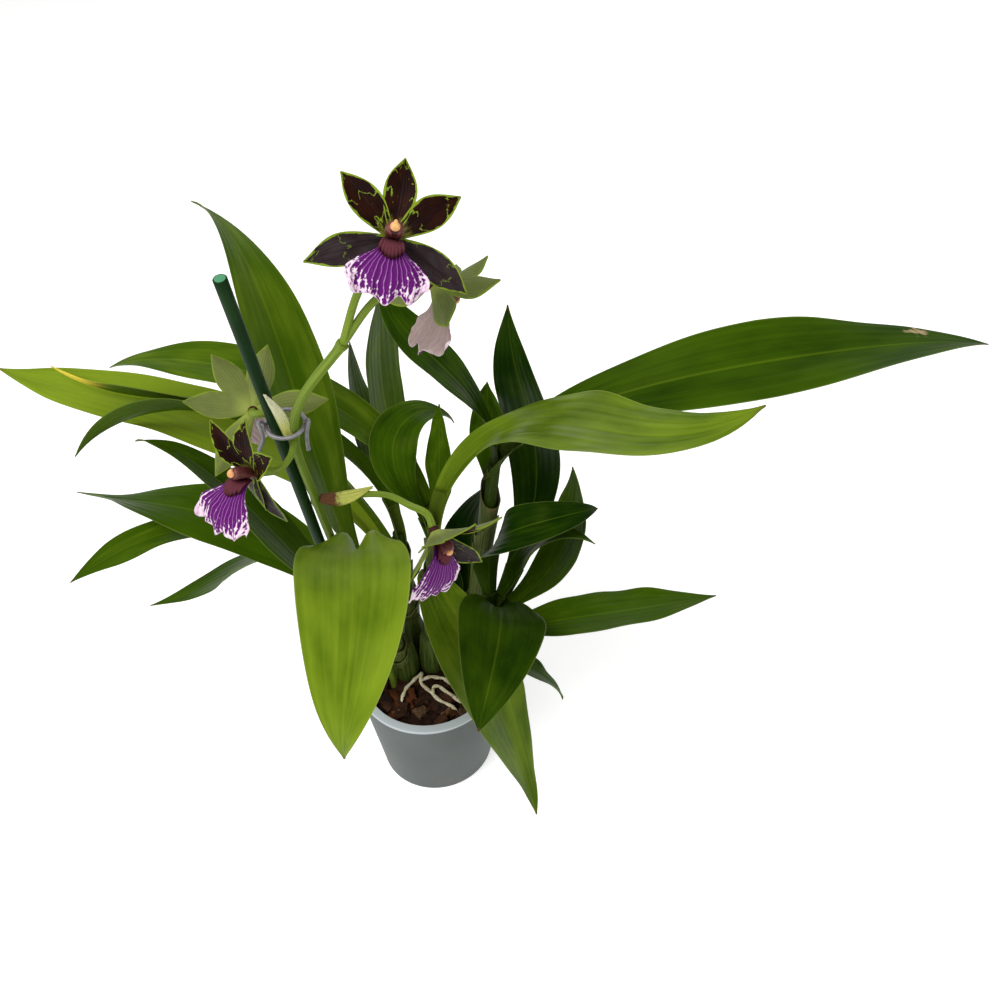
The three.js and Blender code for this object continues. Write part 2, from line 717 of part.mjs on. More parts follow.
function lipBody(bloom) {
  const { width, thickness, wave, waves } = LIP;
  const columns = 3;
  const frames = lipFrames(bloom);
  const upper = [];
  const lower = [];
  for (const frame of frames) {
    const half = (width / 2) * lipOutline(frame.s);
    const along = frame.across.clone().cross(frame.out);
    const top = [];
    const under = [];
    for (let j = -columns; j <= columns; j++) {
      const u = j / columns;
      const ripple = wave * frame.s ** 2 * Math.sin(waves * Math.PI * u) * Math.abs(u);
      const point = frame.point.clone().addScaledVector(frame.across, half * u);
      point.addScaledVector(frame.out, ripple - 0.16 * half * u * u);
      point.addScaledVector(along, -0.28 * half * u * u * frame.s);
      top.push(point);
      under.push(point.clone().addScaledVector(frame.out, -thickness));
    }
    upper.push(top);
    lower.push(under);
  }
  return plate(upper, lower).add(callusBody(bloom));
}

// The ridged crest across the foot of the lip.
function callusBody(bloom) {
  const { width, ridges, radius, length } = CALLUS;
  const low = lipFrames(bloom)[1];
  const along = low.across.clone().cross(low.out);
  const parts = [];
  for (let i = 0; i < ridges; i++) {
    const u = (2 * i) / (ridges - 1) - 1;
    const foot = low.point.clone().addScaledVector(low.across, (u * width * 0.7) / 2);
    foot.addScaledVector(along, -0.2 * length);
    const head = foot.clone().addScaledVector(low.across, (u * width * 0.3) / 2);
    head.addScaledVector(along, length * (0.9 - 0.4 * u * u)).addScaledVector(low.out, 1.6);
    parts.push(loft([foot, head], [radius, radius * 0.8], 4));
  }
  return joined(parts);
}

function columnBody(bloom) {
  const face = faceOf(bloom);
  const lean = THREE.MathUtils.degToRad(COLUMN.lean + COLUMN.lift * bloom.lipCup);
  const along = face.out.clone().multiplyScalar(Math.cos(lean)).addScaledVector(face.up, Math.sin(lean));
  const start = vec(bloom.hub).addScaledVector(along, HUB_RADIUS + GAP);
  const tip = start.clone().addScaledVector(along, COLUMN.length).addScaledVector(face.out, 2);
  const knots = [start, start.clone().lerp(tip, 0.5).addScaledVector(face.out, -0.6), tip];
  const stem = loft(knots, [COLUMN.radius * 0.75, COLUMN.radius, COLUMN.radius * 0.9], 7);
  return stem.add(ball(tip.addScaledVector(face.out, -0.3), COLUMN.radius * 0.85));
}

// ---- assembly ----

const group = new THREE.Group();
group.name = "zygopetalum_orchid";

function add(name, body, colour, roughness) {
  const material = new THREE.MeshStandardMaterial({ color: colour, roughness, side: THREE.DoubleSide });
  const mesh = new THREE.Mesh(geometryOf(largest(body)), material);
  mesh.name = name;
  group.add(mesh);
}

const roots = rootsBody(0);
const growths = Object.fromEntries(Object.keys(GROWTHS).map((name) => [name, growthBody(name)]));

const random = seededRandom(BARK.seed);
const filled = [...potInside(GAP).slice(0, 4), [0, BARK.level]];
let bark = lathe(filled.map(([r, z]) => [r, Math.min(z, BARK.level)]), 40);
for (let i = 0; i < BARK.chips; i++) bark = bark.add(solid(chip(random)));
for (const growth of Object.values(GROWTHS)) bark = bark.subtract(bulb(growth, GAP));
bark = bark.subtract(rootsBody(GAP)).subtract(stakeBody(GAP));
bark = bark.subtract(spikeStem(GAP));

add("pot", potBody(), COLOURS.pot, 0.45);
add("bark", bark, COLOURS.bark, 0.95);
add("roots", roots, COLOURS.root, 0.7);
add("stake", stakeBody(0), COLOURS.stake, 0.5);
add("clip", clipBody(), COLOURS.clip, 0.4);
for (const [name, body] of Object.entries(growths)) add(`growth_${name}`, body, COLOURS.growth, 0.55);
for (const blade of LEAVES) add(`leaf_${blade.name}`, leafBlade(blade), COLOURS.leaf, 0.5);
add("spike", spikeBody(), COLOURS.spike, 0.5);
for (const [name, bract] of Object.entries(BRACTS)) add(name, bractBody(bract), COLOURS.bract, 0.6);
for (const [name, bloom] of Object.entries(BLOOMS)) {
  add(`${name}_tepals`, tepalsBody(bloom), COLOURS.tepal, 0.5);
  add(`${name}_lip`, lipBody(bloom), COLOURS.lip, 0.6);
  add(`${name}_column`, columnBody(bloom), COLOURS.column, 0.5);
}

export default group;
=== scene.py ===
"""Looks of a zygopetalum orchid in its pot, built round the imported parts.

Tables are in millimetres and degrees, and MM turns millimetres into Blender's metres.
Bearings are degrees in plan, 0 along +X and 90 along +Y. Pitches are degrees above level.
"""

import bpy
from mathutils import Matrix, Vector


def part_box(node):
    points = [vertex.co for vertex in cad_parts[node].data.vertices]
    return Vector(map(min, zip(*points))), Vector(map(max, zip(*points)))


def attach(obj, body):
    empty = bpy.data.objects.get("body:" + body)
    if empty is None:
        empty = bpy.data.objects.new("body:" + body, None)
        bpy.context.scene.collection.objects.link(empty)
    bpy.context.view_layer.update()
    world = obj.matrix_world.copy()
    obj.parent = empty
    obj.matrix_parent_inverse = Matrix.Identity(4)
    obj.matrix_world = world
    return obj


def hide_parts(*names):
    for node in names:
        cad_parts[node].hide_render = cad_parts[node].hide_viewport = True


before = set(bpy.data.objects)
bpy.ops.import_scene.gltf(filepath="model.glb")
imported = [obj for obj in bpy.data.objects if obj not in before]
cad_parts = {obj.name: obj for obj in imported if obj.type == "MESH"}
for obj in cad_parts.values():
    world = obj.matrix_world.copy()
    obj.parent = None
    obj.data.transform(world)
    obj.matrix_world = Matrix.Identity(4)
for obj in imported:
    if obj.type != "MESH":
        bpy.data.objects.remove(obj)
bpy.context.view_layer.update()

import math
import random

import bmesh
import bpy
import numpy as np
from bpy.props import FloatProperty, FloatVectorProperty, IntProperty, PointerProperty
from mathutils import Matrix, Vector, noise

bl_info = {
    "name": "Potted zygopetalum orchid",
    "version": (1, 0, 0),
    "blender": (4, 5, 0),
    "location": "View3D > Sidebar > Orchid",
    "description": "Builds the leaves, blooms, pot and stage of a potted orchid",
    "category": "Object",
}

MM = 0.001
BODY = "root"

# ---- places and sizes that the pieces share ----

GROWTHS = {
    "left": ((-20, 8, 95), (-28, -8, 180)),
    "back": ((-14, 36, 95), (-16, 52, 215)),
    "middle": ((4, 14, 95), (16, 28, 245)),
    "tall": ((34, 22, 95), (64, 40, 290)),
    "right": ((34, -4, 95), (58, 8, 165)),
}
FRONT_STALK = (-25, -68, 241)
BULB = {"radius": 12, "sunk": 14, "height": 38, "neck": 6.5, "neck_from": 0.12, "tip": 4.6}
# Shares of a leaf: where its blade leaves the growth, and how far both reach past that.
JOINT_SHARE = 0.12
OVERLAP = 0.012
FOOT_SHARE = 0.3
BASE_FOLD = 62
BLADE_FOLD = 10
WIDEST = 0.56
EARLY_WIDEST = {"front_dark": 0.5, "front_light": 0.5}
BLADE_COLUMNS = 27
PLEAT_DEPTH = 0.34
CREST = {"place": 0.27, "spread": 0.1}
SHEATH_PLACES = (0.14, 0.32, 0.48, 0.64)


def leaf(growth, at, length, width, pitch, bearing, roll, tone, wave=1.0, crest=0.0, yellow=0.0, brown=0.0):
    """One leaf: where it grows, its size, how it bends, and how light, wavy and aged it is. How light it is
    stands partly for its own green and partly for painted shade.
    """
    return {
        "growth": growth,
        "at": at,
        "length": length,
        "width": width,
        "pitch": pitch,
        "bearing": bearing,
        "roll": roll,
        "tone": tone,
        "wave": wave,
        "crest": crest,
        "yellow": yellow,
        "brown": brown,
    }


# tone is how light each leaf is painted: partly its own green, partly painted shade for leaves that lie in
# shade or face away from the light.
LEAVES = {
    "right_long": leaf(
        "tall", 0.95, 410, 56,
        pitch=(71, 7, 0, -21), bearing=(-32, -11, 18, 22), roll=(32, 40, 28, -8),
        tone=0.32, wave=2.2, brown=1,
    ),
    "right_front": leaf(
        "middle", 0.95, 375, 50,
        pitch=(80, 43, -2, 52), bearing=(16, -66, -79, -36), roll=(74, 1, -5, 62),
        tone=0.78, wave=3.0,
    ),
    "back_left_tall": leaf(
        "left", 0.95, 365, 61,
        pitch=(68, 87, 74, 0), bearing=(165, 120, 94, 140), roll=(54, 28, 17, 47),
        tone=0.6,
    ),
    "left_light": leaf(
        "back", 0.5, 420, 61,
        pitch=(73, 22, -12, 9), bearing=(142, 159, 168, 157), roll=(6, 0, -11, -21),
        tone=1.0, wave=3.0,
    ),
    "left_upper": leaf(
        "middle", 0.85, 335, 48,
        pitch=(84, 16, 23, -31), bearing=(106, 179, 175, 152), roll=(7, 4, -7, -11),
        tone=0.6, wave=2.0,
    ),
    "left_yellow_tip": leaf(
        "back", 0.9, 360, 41,
        pitch=(94, -2, -15, 10), bearing=(121, 179, 176, 143), roll=(11, 13, 29, 75),
        tone=0.5, yellow=1,
    ),
    "left_curled": leaf(
        "back", 0.6, 355, 43,
        pitch=(82, 53, 5, -50), bearing=(166, 160, 163, 186), roll=(36, 45, 49, 49),
        tone=0.45,
    ),
    "left_mid_slim": leaf(
        "left", 0.7, 275, 51,
        pitch=(43, 78, 50, -29), bearing=(187, 158, 145, 146), roll=(-8, 19, 33, 37),
        tone=0.4,
    ),
    "left_mid": leaf(
        "left", 0.55, 325, 56,
        pitch=(66, 24, -21, -4), bearing=(152, 154, 165, 155), roll=(-53, -35, -3, 44),
        tone=0.44, wave=2.0,
    ),
    "left_low": leaf(
        "left", 0.45, 315, 48,
        pitch=(59, 15, -12, -8), bearing=(131, 144, 183, 227), roll=(65, 46, 8, -34),
        tone=0.55, wave=3.0,
    ),
    "left_lowest": leaf(
        "left", 0.3, 360, 45,
        pitch=(64, -31, -74, -7), bearing=(130, 135, 155, 188), roll=(47, 17, 3, -11),
        tone=0.4, wave=2.4,
    ),
    "front_broad": leaf(
        FRONT_STALK, 0, 265, 66,
        pitch=(97, 81, -23, -89), bearing=(-106, -72, -69, -132), roll=(2, -4, -10, -10),
        tone=0.82, crest=17,
    ),
    "centre_point": leaf(
        "back", 1, 170, 35,
        pitch=(27, 54, 81, 106), bearing=(102, 118, 130, 135), roll=(13, 25, 31, 29),
        tone=0.45,
    ),
    "centre_broad": leaf(
        "middle", 0.8, 255, 41,
        pitch=(8, 61, 109, 127), bearing=(102, 129, 124, 97), roll=(24, 27, 26, 24),
        tone=0.58,
    ),
    "right_dark_arch": leaf(
        "tall", 1, 170, 36,
        pitch=(96, 58, 22, 86), bearing=(150, 176, 182, 162), roll=(24, 10, -20, -61),
        tone=0.25,
    ),
    "right_upright": leaf(
        "right", 1, 310, 50,
        pitch=(12, 93, 132, 101), bearing=(61, 42, 54, 85), roll=(21, 11, -6, -20),
        tone=0.14,
    ),
    "right_bent": leaf(
        "right", 0.9, 190, 37,
        pitch=(97, 101, 32, -36), bearing=(-90, -66, -20, 52), roll=(-11, 3, 24, 50),
        tone=0.1,
    ),
    "right_pale_tip": leaf(
        "right", 0.9, 170, 45,
        pitch=(26, 51, 77, 106), bearing=(10, 15, 18, 20), roll=(2, 6, 9, 9),
        tone=0.5,
    ),
    "right_small_tip": leaf(
        "right", 1, 135, 31,
        pitch=(57, 83, 55, -4), bearing=(26, -4, -27, -41), roll=(12, 14, 0, -32),
        tone=0.35,
    ),
    "right_low": leaf(
        "right", 0.6, 200, 46,
        pitch=(46, 17, 3, -6), bearing=(-25, -11, 4, 16), roll=(21, 0, -13, -13),
        tone=0.5, wave=2.0,
    ),
    "front_dark": leaf(
        "right", 0.9, 170, 66,
        pitch=(70, 41, -3, -60), bearing=(-64, -90, -100, -118), roll=(-30, -18, -6, -8),
        tone=0.27, wave=1.8,
    ),
    "front_light": leaf(
        "middle", 0.62, 240, 70,
        pitch=(65, -70, -86, -37), bearing=(-101, -36, -33, -77), roll=(4, -9, -24, -42),
        tone=0.72, wave=1.6,
    ),
    "right_short": leaf(
        "right", 0.45, 100, 30,
        pitch=(43, 11, -29, -83), bearing=(-57, -36, -18, -4), roll=(-16, -27, -32, -25),
        tone=0.35,
    ),
    "centre_curled": leaf(
        "middle", 0.97, 155, 36,
        pitch=(70, 60, 41, -70), bearing=(250, 130, 16, 20), roll=(0, 15, 20, 0),
        tone=0.35,
    ),
    "centre_light": leaf(
        "middle", 1, 95, 22,
        pitch=(60, 70, 72, 72), bearing=(60, 75, 80, 82), roll=(17, 3, -17, -41),
        tone=0.55,
    ),
    "centre_small": leaf(
        "tall", 0.85, 95, 30,
        pitch=(40, 70, 84, 96), bearing=(83, 88, 89, 80), roll=(10, 6, -6, -29),
        tone=0.35,
    ),
    # The two inner leaves are painted almost black: painted shade filling the dark centre of the plant.
    "inner_tall": leaf(
        "tall", 0.12, 142, 54,
        pitch=(30, 92, 76, 62), bearing=(96, 95, 30, 10), roll=(0, 0, 0, 0),
        tone=0.05,
    ),
    "inner_middle": leaf(
        "middle", 0.12, 112, 34,
        pitch=(20, 92, 88, 84), bearing=(62, 66, 80, 80), roll=(0, 0, 0, 0),
        tone=0.05,
    ),
}

STEM = [
    (-29, -6, 80),
    (-30, -8, 110),
    (-38, -31, 200),
    (-41, -57, 300),
    (-43, -75, 365),
    (-44, -89, 425),
    (-32, -103, 460),
    (-4, -116, 500),
]
STEM_NODES = (4, 5, 7)
STEM_RADIUS = 2.7
STALK_RADIUS = 1.8
OVARY_RADIUS = 2.2

BLOOMS = {
    "top_front": {
        "hub": (26, -119, 554),
        "bearing": -76,
        "pitch": 43,
        "roll": -21,
        "cup": 0,
        "lower_cup": 0,
        "spread": 115,
        "lip_cup": 6,
        "lip_turn": 180,
        "lip_size": 0.9,
        "scale": 1.0,
        "stalk": [(-4, -116, 500), (7, -109, 525)],
    },
    "top_back": {
        "hub": (39, -90, 515),
        "bearing": 17,
        "pitch": -49,
        "roll": -20,
        "cup": 30,
        "lower_cup": -28,
        "spread": 115,
        "lip_cup": 16,
        "lip_turn": 180,
        "lip_size": 1.0,
        "scale": 0.95,
        "stalk": [(-4, -116, 500), (12, -106, 516)],
    },
    "left_back": {
        "hub": (-68, -71, 431),
        "bearing": 105,
        "pitch": -25,
        "roll": -23,
        "cup": 0,
        "lower_cup": 0,
        "spread": 115,
        "lip_cup": 42,
        "lip_turn": 180,
        "lip_size": 1.0,
        "scale": 1.06,
        "stalk": [(-44, -89, 425), (-46, -82, 426), (-54, -78, 433)],
    },
    "left_front": {
        "hub": (-61, -118, 425),
        "bearing": -128,
        "pitch": 30,
        "roll": -4,
        "cup": 24,
        "lower_cup": -62,
        "spread": 165,
        "lip_cup": 14,
        "lip_turn": 180,
        "lip_size": 1.04,
        "scale": 1.0,
        "stalk": [(-44, -89, 425), (-45, -100, 421), (-51, -109, 419)],
    },
    "centre": {
        "hub": (28.5, -108, 368),
        "bearing": -62,
        "pitch": -38,
        "roll": -18,
        "cup": 11,
        "lower_cup": 29,
        "spread": 115,
        "lip_cup": 40,
        "lip_turn": 170,
        "lip_size": 1.1,
        "scale": 1.12,
        "stalk": [(-43, -75, 365), (-22, -79, 372), (1, -86, 377), (15, -96, 377)],
    },
}
HUB_RADIUS = 3
UPPER_TEPALS = {"turns": (0, 48, -48), "length": 36, "lean": 18, "tip_lean": -12}
LOWER_TEPALS = {"sides": (1, -1), "length": 40, "lean": 6, "tip_lean": -14}
TEPAL_WIDTH = 15
TEPAL_FOLD = 14.0
TEPAL_GRID = {"rows": 44, "columns": 21}
LIP = {"length": 40, "width": 36, "lean": 52, "tip_lean": -42, "wave": 1.6, "waves": 4}
LIP_FOOT = 4.4
LIP_GRID = {"rows": 56, "columns": 71}
COLUMN = {"length": 10.5, "radius": 3.5, "lean": -4, "lift": 0.6}
CALLUS = {"width": 9.5, "ridges": 8, "length": 12}

BRACT_FOLD = 34.0
BRACT_GRID = {"rows": 30, "columns": 19}
BRACTS = {
    "low": {
        "foot": (-39.6, -76.4, 370.6),
        "length": 34,
        "width": 15,
        "pitch": 15,
        "bearing": -8,
        "roll": 180,
    },
    "upright": {
        "foot": (-46.4, -93.4, 427.7),
        "length": 38,
        "width": 9.5,
        "pitch": 74,
        "bearing": -110,
        "roll": 0,
    },
}

STAKE_SOIL = (-43, -16, 95)
STAKE_TOP = (-55, -110, 530)
STAKE_FOOT_HEIGHT = 20
# How far the rod reaches past the solid of the stake.
STAKE_PAST_TOP = 5
CLIP = {"height": 435, "aside": 5.6, "half_width": 10.8, "half_depth": 8.6, "wire": 1.1}

ROOT_RADIUS = 1.45
ROOTS = [
    [
        (-6, 0, 100),
        (-7, -7, 98.5),
        (-2, -14, 97.5),
        (3, -21, 98.5),
        (9, -27, 98.5),
        (16, -32, 98),
        (24, -38, 97.5),
    ],
    [(3, -21, 98.5), (5, -14, 98.8), (10, -15, 98.5), (18, -22, 98), (27, -31, 97.5)],
    [(-6, 0, 100), (-14, -8, 98.5), (-20, -16, 97.5), (-22, -26, 96.5)],
    [(-7, -7, 98.5), (2, -4, 99), (12, -6, 98.5), (19, -12, 98)],
]

DRAIN = {"holes": 6, "circle": 33, "radius": 4}
SOIL = {"level": 90.5, "reach": 50.5}

CAMERA = {"place": (67, -506, 747), "pitch": -42, "roll": -2.8, "focal": 0.96}


# ---- vectors and curves ----


def vec(values):
    return np.array(values, float)


def unit(vectors):
    return vectors / np.maximum(np.linalg.norm(vectors, axis=-1, keepdims=True), 1e-9)


def direction(bearing, pitch):
    """Unit vector at a bearing and a pitch in degrees."""
    b = math.radians(bearing)
    p = math.radians(pitch)
    return vec((math.cos(p) * math.cos(b), math.cos(p) * math.sin(b), math.sin(p)))


def bezier(values, s):
    r = 1 - s
    return values[0] * r**3 + values[1] * 3 * s * r * r + values[2] * 3 * s * s * r + values[3] * s**3


def smooth_path(knots, per_span=10):
    """Points of a centripetal Catmull-Rom curve through the knots."""
    knots = vec(knots)
    p = np.vstack([[2 * knots[0] - knots[1]], knots, [2 * knots[-1] - knots[-2]]])
    rows = []
    for i in range(1, len(p) - 2):
        a, b, c, d = p[i - 1 : i + 3]
        t1 = np.linalg.norm(b - a) ** 0.5
        t2 = t1 + np.linalg.norm(c - b) ** 0.5
        t3 = t2 + np.linalg.norm(d - c) ** 0.5
        t = np.linspace(t1, t2, per_span, endpoint=False)[:, None]
        first = (t1 - t) / t1 * a + t / t1 * b
        second = (t2 - t) / (t2 - t1) * b + (t - t1) / (t2 - t1) * c
        third = (t3 - t) / (t3 - t2) * c + (t - t2) / (t3 - t2) * d
        near = (t2 - t) / t2 * first + t / t2 * second
        far = (t3 - t) / (t3 - t1) * second + (t - t1) / (t3 - t1) * third
        rows.append((t2 - t) / (t2 - t1) * near + (t - t1) / (t2 - t1) * far)
    rows.append(knots[-1:])
    return np.vstack(rows)


# ---- meshes ----


class Shape:
    """Corners and faces gathered for one mesh, with the values that its material reads."""

    def __init__(self):
        self.corners = []
        self.place = []
        self.tint = []
        self.side = []
        self.faces = []
        self.count = 0

    def grid(self, corners, place, tint=(0, 0, 0), side=1.0, around=True, caps=(True, True)):
        """Adds rows of corners and the faces between them. around closes each row on itself."""
        rows, columns = corners.shape[:2]
        index = self.count + np.arange(rows * columns).reshape(rows, columns)
        for end, wanted in zip((index[0], index[-1][::-1]), caps):
            if wanted:
                self.faces.append(end.tolist())
        if around:
            index = np.hstack([index, index[:, :1]])
        quads = np.stack([index[:-1, :-1], index[1:, :-1], index[1:, 1:], index[:-1, 1:]], -1)
        self.faces.extend(quads.reshape(-1, 4).tolist())
        self.corners.append(corners.reshape(-1, 3))
        self.place.append(np.broadcast_to(place, corners.shape).reshape(-1, 3))
        self.tint.append(np.broadcast_to(tint, corners.shape).reshape(-1, 3))
        self.side.append(np.broadcast_to(side, corners.shape[:2]).reshape(-1))
        self.count += rows * columns

    def sweep(self, path, radii, sides=16, ribs=0, rib_depth=0.0, tint=(0, 0, 0), flat=1.0):
        """Adds a round bar along a path. Ribs run along it, and flat squeezes it sideways."""
        radii = np.broadcast_to(vec(radii), len(path))
        along = unit(np.gradient(path, axis=0))
        across = vec((1, 0, 0)) if abs(along[0][0]) < 0.9 else vec((0, 1, 0))
        turn = np.linspace(0, 2 * math.pi, sides, endpoint=False)
        swell = 1 + rib_depth * np.cos(ribs * turn)
        rings = []
        for point, ahead, radius in zip(path, along, radii):
            across = unit(across - ahead * across.dot(ahead))
            other = np.cross(ahead, across)
            reach = radius * swell
            sideways = np.outer(reach * np.cos(turn), across)
            upwards = np.outer(reach * flat * np.sin(turn), other)
            rings.append(point + sideways + upwards)
        share = np.linspace(0, 1, len(path))[:, None]
        place = np.stack(np.broadcast_arrays(turn[None] / math.pi - 1, share, radii[:, None]), -1)
        self.grid(np.array(rings), place, tint)

    def turned(self, profile, sides=96, tint=(0, 0, 0)):
        """Adds a body of revolution round the Z axis from (radius, height) points."""
        turn = np.linspace(0, 2 * math.pi, sides, endpoint=False)
        rings = [np.stack([r * np.cos(turn), r * np.sin(turn), np.full(sides, z)], -1) for r, z in profile]
        share = np.linspace(0, 1, len(profile))[:, None]
        place = np.stack(np.broadcast_arrays(turn[None] / math.pi - 1, share, 1.0), -1)
        self.grid(np.array(rings), place, tint)

    def ball(self, centre, radii, axes=None, rows=14, sides=20, tint=(0, 0, 0)):
        """Adds an ellipsoid. axes are its three directions as rows."""
        axes = np.eye(3) if axes is None else vec(axes)
        lift = np.linspace(-math.pi / 2 + 0.12, math.pi / 2 - 0.12, rows)
        turn = np.linspace(0, 2 * math.pi, sides, endpoint=False)
        x = np.outer(np.cos(lift), np.cos(turn)) * radii[0]
        y = np.outer(np.cos(lift), np.sin(turn)) * radii[1]
        z = np.outer(np.sin(lift), np.ones(sides)) * radii[2]
        corners = vec(centre) + x[..., None] * axes[0] + y[..., None] * axes[1] + z[..., None] * axes[2]
        share = np.linspace(0, 1, rows)[:, None]
        place = np.stack(np.broadcast_arrays(turn[None] / math.pi - 1, share, 1.0), -1)
        self.grid(corners, place, tint)

    def sheet(self, middle, thickness, u, s, half, tint=(0, 0, 0), sink=0.0):
        """Adds a thin closed blade whose upper face is the grid middle.

        Its rows run along s and its columns along u.
        """
        normal = unit(np.cross(np.gradient(middle, axis=0), np.gradient(middle, axis=1)))
        upper = middle - normal * sink
        lower = upper - normal * thickness[..., None]
        corners = np.concatenate([upper, lower[:, ::-1]], axis=1)
        loop = np.concatenate([u, u[::-1]])
        place = np.stack(np.broadcast_arrays(loop[None], s[:, None], half[:, None]), -1)
        side = np.broadcast_to(np.concatenate([np.ones(len(u)), np.zeros(len(u))]), corners.shape[:2])
        tints = np.broadcast_to(tint, middle.shape)
        self.grid(corners, place, np.concatenate([tints, tints[:, ::-1]], axis=1), side)


def add_piece(name, shape, material, nodes):
    """Makes the object of a shape. It rides on the part's body and stands for its CAD nodes."""
    mesh = bpy.data.meshes.new(name)
    mesh.from_pydata((np.concatenate(shape.corners) * MM).tolist(), [], shape.faces)
    for label, kind, key, values in (
        ("place", "FLOAT_VECTOR", "vector", shape.place),
        ("tint", "FLOAT_VECTOR", "vector", shape.tint),
        ("side", "FLOAT", "value", shape.side),
    ):
        field = mesh.attributes.new(label, kind, "POINT")
        field.data.foreach_set(key, np.concatenate(values).astype(np.float32).ravel())
    shell = bmesh.new()
    shell.from_mesh(mesh)
    bmesh.ops.recalc_face_normals(shell, faces=shell.faces)
    shell.to_mesh(mesh)
    shell.free()
    mesh.polygons.foreach_set("use_smooth", [True] * len(mesh.polygons))
    mesh.materials.append(material)
    piece = bpy.data.objects.new(name, mesh)
    bpy.context.scene.collection.objects.link(piece)
    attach(piece, BODY)
    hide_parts(*nodes)
    return piece


def sharpen(piece, degrees):
    """Keeps edges that turn by more than the angle crisp."""
    shell = bmesh.new()
    shell.from_mesh(piece.data)
    for edge in shell.edges:
        edge.smooth = len(edge.link_faces) < 2 or edge.calc_face_angle() < math.radians(degrees)
    shell.to_mesh(piece.data)
    shell.free()


# ---- materials ----


class Wire:
    """One output of a shader node. Arithmetic on it adds Math nodes."""

    def __init__(self, look, socket):
        self.look = look
        self.socket = socket

    def math(self, operation, *values):
        return self.look.node("ShaderNodeMath", {"operation": operation}, dict(enumerate(values)))

    def __add__(self, other):
        return self.math("ADD", self, other)

    def __sub__(self, other):
        return self.math("SUBTRACT", self, other)

    def __rsub__(self, other):
        return self.math("SUBTRACT", other, self)

    def __mul__(self, other):
        return self.math("MULTIPLY", self, other)

    __radd__ = __add__
    __rmul__ = __mul__

    def size(self):
        return self.math("ABSOLUTE", self)

    def sine(self):
        return self.math("SINE", self)

    def lowest(self, other):
        return self.math("MINIMUM", self, other)

    def highest(self, other):
        return self.math("MAXIMUM", self, other)

    def fade(self, low, high):
        """0 below low, 1 above high, smooth between; the other way round when low is above high."""
        ends = {"From Min": min(low, high), "From Max": max(low, high)}
        ends.update({"To Min": float(low > high), "To Max": float(low < high)})
        settings = {"interpolation_type": "SMOOTHSTEP"}
        return self.look.node("ShaderNodeMapRange", settings, {"Value": self, **ends})


class Look:
    """A material, whose nodes are added one at a time."""

    def __init__(self, name):
        self.material = bpy.data.materials.new(name)
        self.material.use_nodes = True
        self.tree = self.material.node_tree
        self.tree.nodes.clear()

    def node(self, kind, settings=None, sockets=None, output=0):
        """Adds a node, sets its settings, then the values or links of its sockets."""
        node = self.tree.nodes.new(kind)
        for key, value in (settings or {}).items():
            setattr(node, key, value)
        for key, value in (sockets or {}).items():
            if isinstance(value, Wire):
                self.tree.links.new(value.socket, node.inputs[key])
            else:
                node.inputs[key].default_value = value
        return Wire(self, node.outputs[output])

    def field(self, name):
        """The three numbers of a mesh attribute."""
        whole = self.node("ShaderNodeAttribute", {"attribute_name": name}, output="Vector")
        return [self.node("ShaderNodeSeparateXYZ", {}, {0: whole}, output=i) for i in range(3)]

    def number(self, name):
        return self.node("ShaderNodeAttribute", {"attribute_name": name}, output="Fac")

    def position(self):
        return self.node("ShaderNodeTexCoord", output="Object")

    def vector(self, x, y, z=0.0):
        return self.node("ShaderNodeCombineXYZ", {}, {0: x, 1: y, 2: z})

    def noise(self, vector, scale, detail=3.0, distortion=0.0):
        sockets = {"Vector": vector, "Scale": scale, "Detail": detail, "Distortion": distortion}
        return self.node("ShaderNodeTexNoise", {}, sockets)

    def mix(self, share, first, second):
        """first where share is 0, second where it is 1."""
        sockets = {0: share, 6: first, 7: second}
        for key in (6, 7):
            if isinstance(sockets[key], tuple):
                sockets[key] = (*sockets[key], 1.0)
        return self.node("ShaderNodeMix", {"data_type": "RGBA", "clamp_factor": True}, sockets, output=2)

    def bump(self, height, distance, strength):
        sockets = {"Height": height, "Distance": distance * MM, "Strength": strength}
        return self.node("ShaderNodeBump", {}, sockets)

    def finish(self, **sockets):
        """Joins the shader to the output. Keyword names are its socket names in lower case."""
        named = {}
        for key, value in sockets.items():
            named[key.replace("_", " ").title().replace("Ior", "IOR")] = value
        shader = self.node("ShaderNodeBsdfPrincipled", {}, named)
        end = self.tree.nodes.new("ShaderNodeOutputMaterial")
        self.tree.links.new(shader.socket, end.inputs["Surface"])
        return self.material


# ---- leaves and growths ----


def growth_point(growth, share):
    foot, top = GROWTHS[growth]
    return vec(foot) + (vec(top) - vec(foot)) * share


def leaf_foot(blade):
    if isinstance(blade["growth"], tuple):
        return vec(blade["growth"])
    return growth_point(blade["growth"], blade["at"])


def blade_frames(foot, length, bearing, pitch, roll, shares):
    """Midrib points with the directions across the blade and out of its upper face."""
    steps = 48
    path = [vec(foot)]
    for i in range(steps):
        s = (i + 0.5) / steps
        path.append(path[-1] + direction(bezier(bearing, s), bezier(pitch, s)) * length / steps)
    path = np.array(path)
    points = np.stack([np.interp(shares * steps, np.arange(steps + 1), path[:, k]) for k in range(3)], -1)
    across = []
    out = []
    for s in shares:
        b = bezier(bearing, s)
        turn = math.radians(bezier(roll, s))
        level = direction(b + 90, 0)
        up = direction(b, bezier(pitch, s) + 90)
        across.append(level * math.cos(turn) + up * math.sin(turn))
        out.append(up * math.cos(turn) - level * math.sin(turn))
    return points, np.array(across), np.array(out)


def leaf_outline(s, widest):
    """Half width at shares of the length, against half the greatest width."""
    rise = np.sin(math.pi / 2 * np.minimum(s / widest, 1) ** 1.15) ** 2
    u = np.clip((s - widest) / (1 - widest), 0, 1)
    fall = np.maximum((1 - u**2.2) * (1 - 0.22 * u), 0.015)
    return np.where(s < widest, FOOT_SHARE + (1 - FOOT_SHARE) * rise, fall)


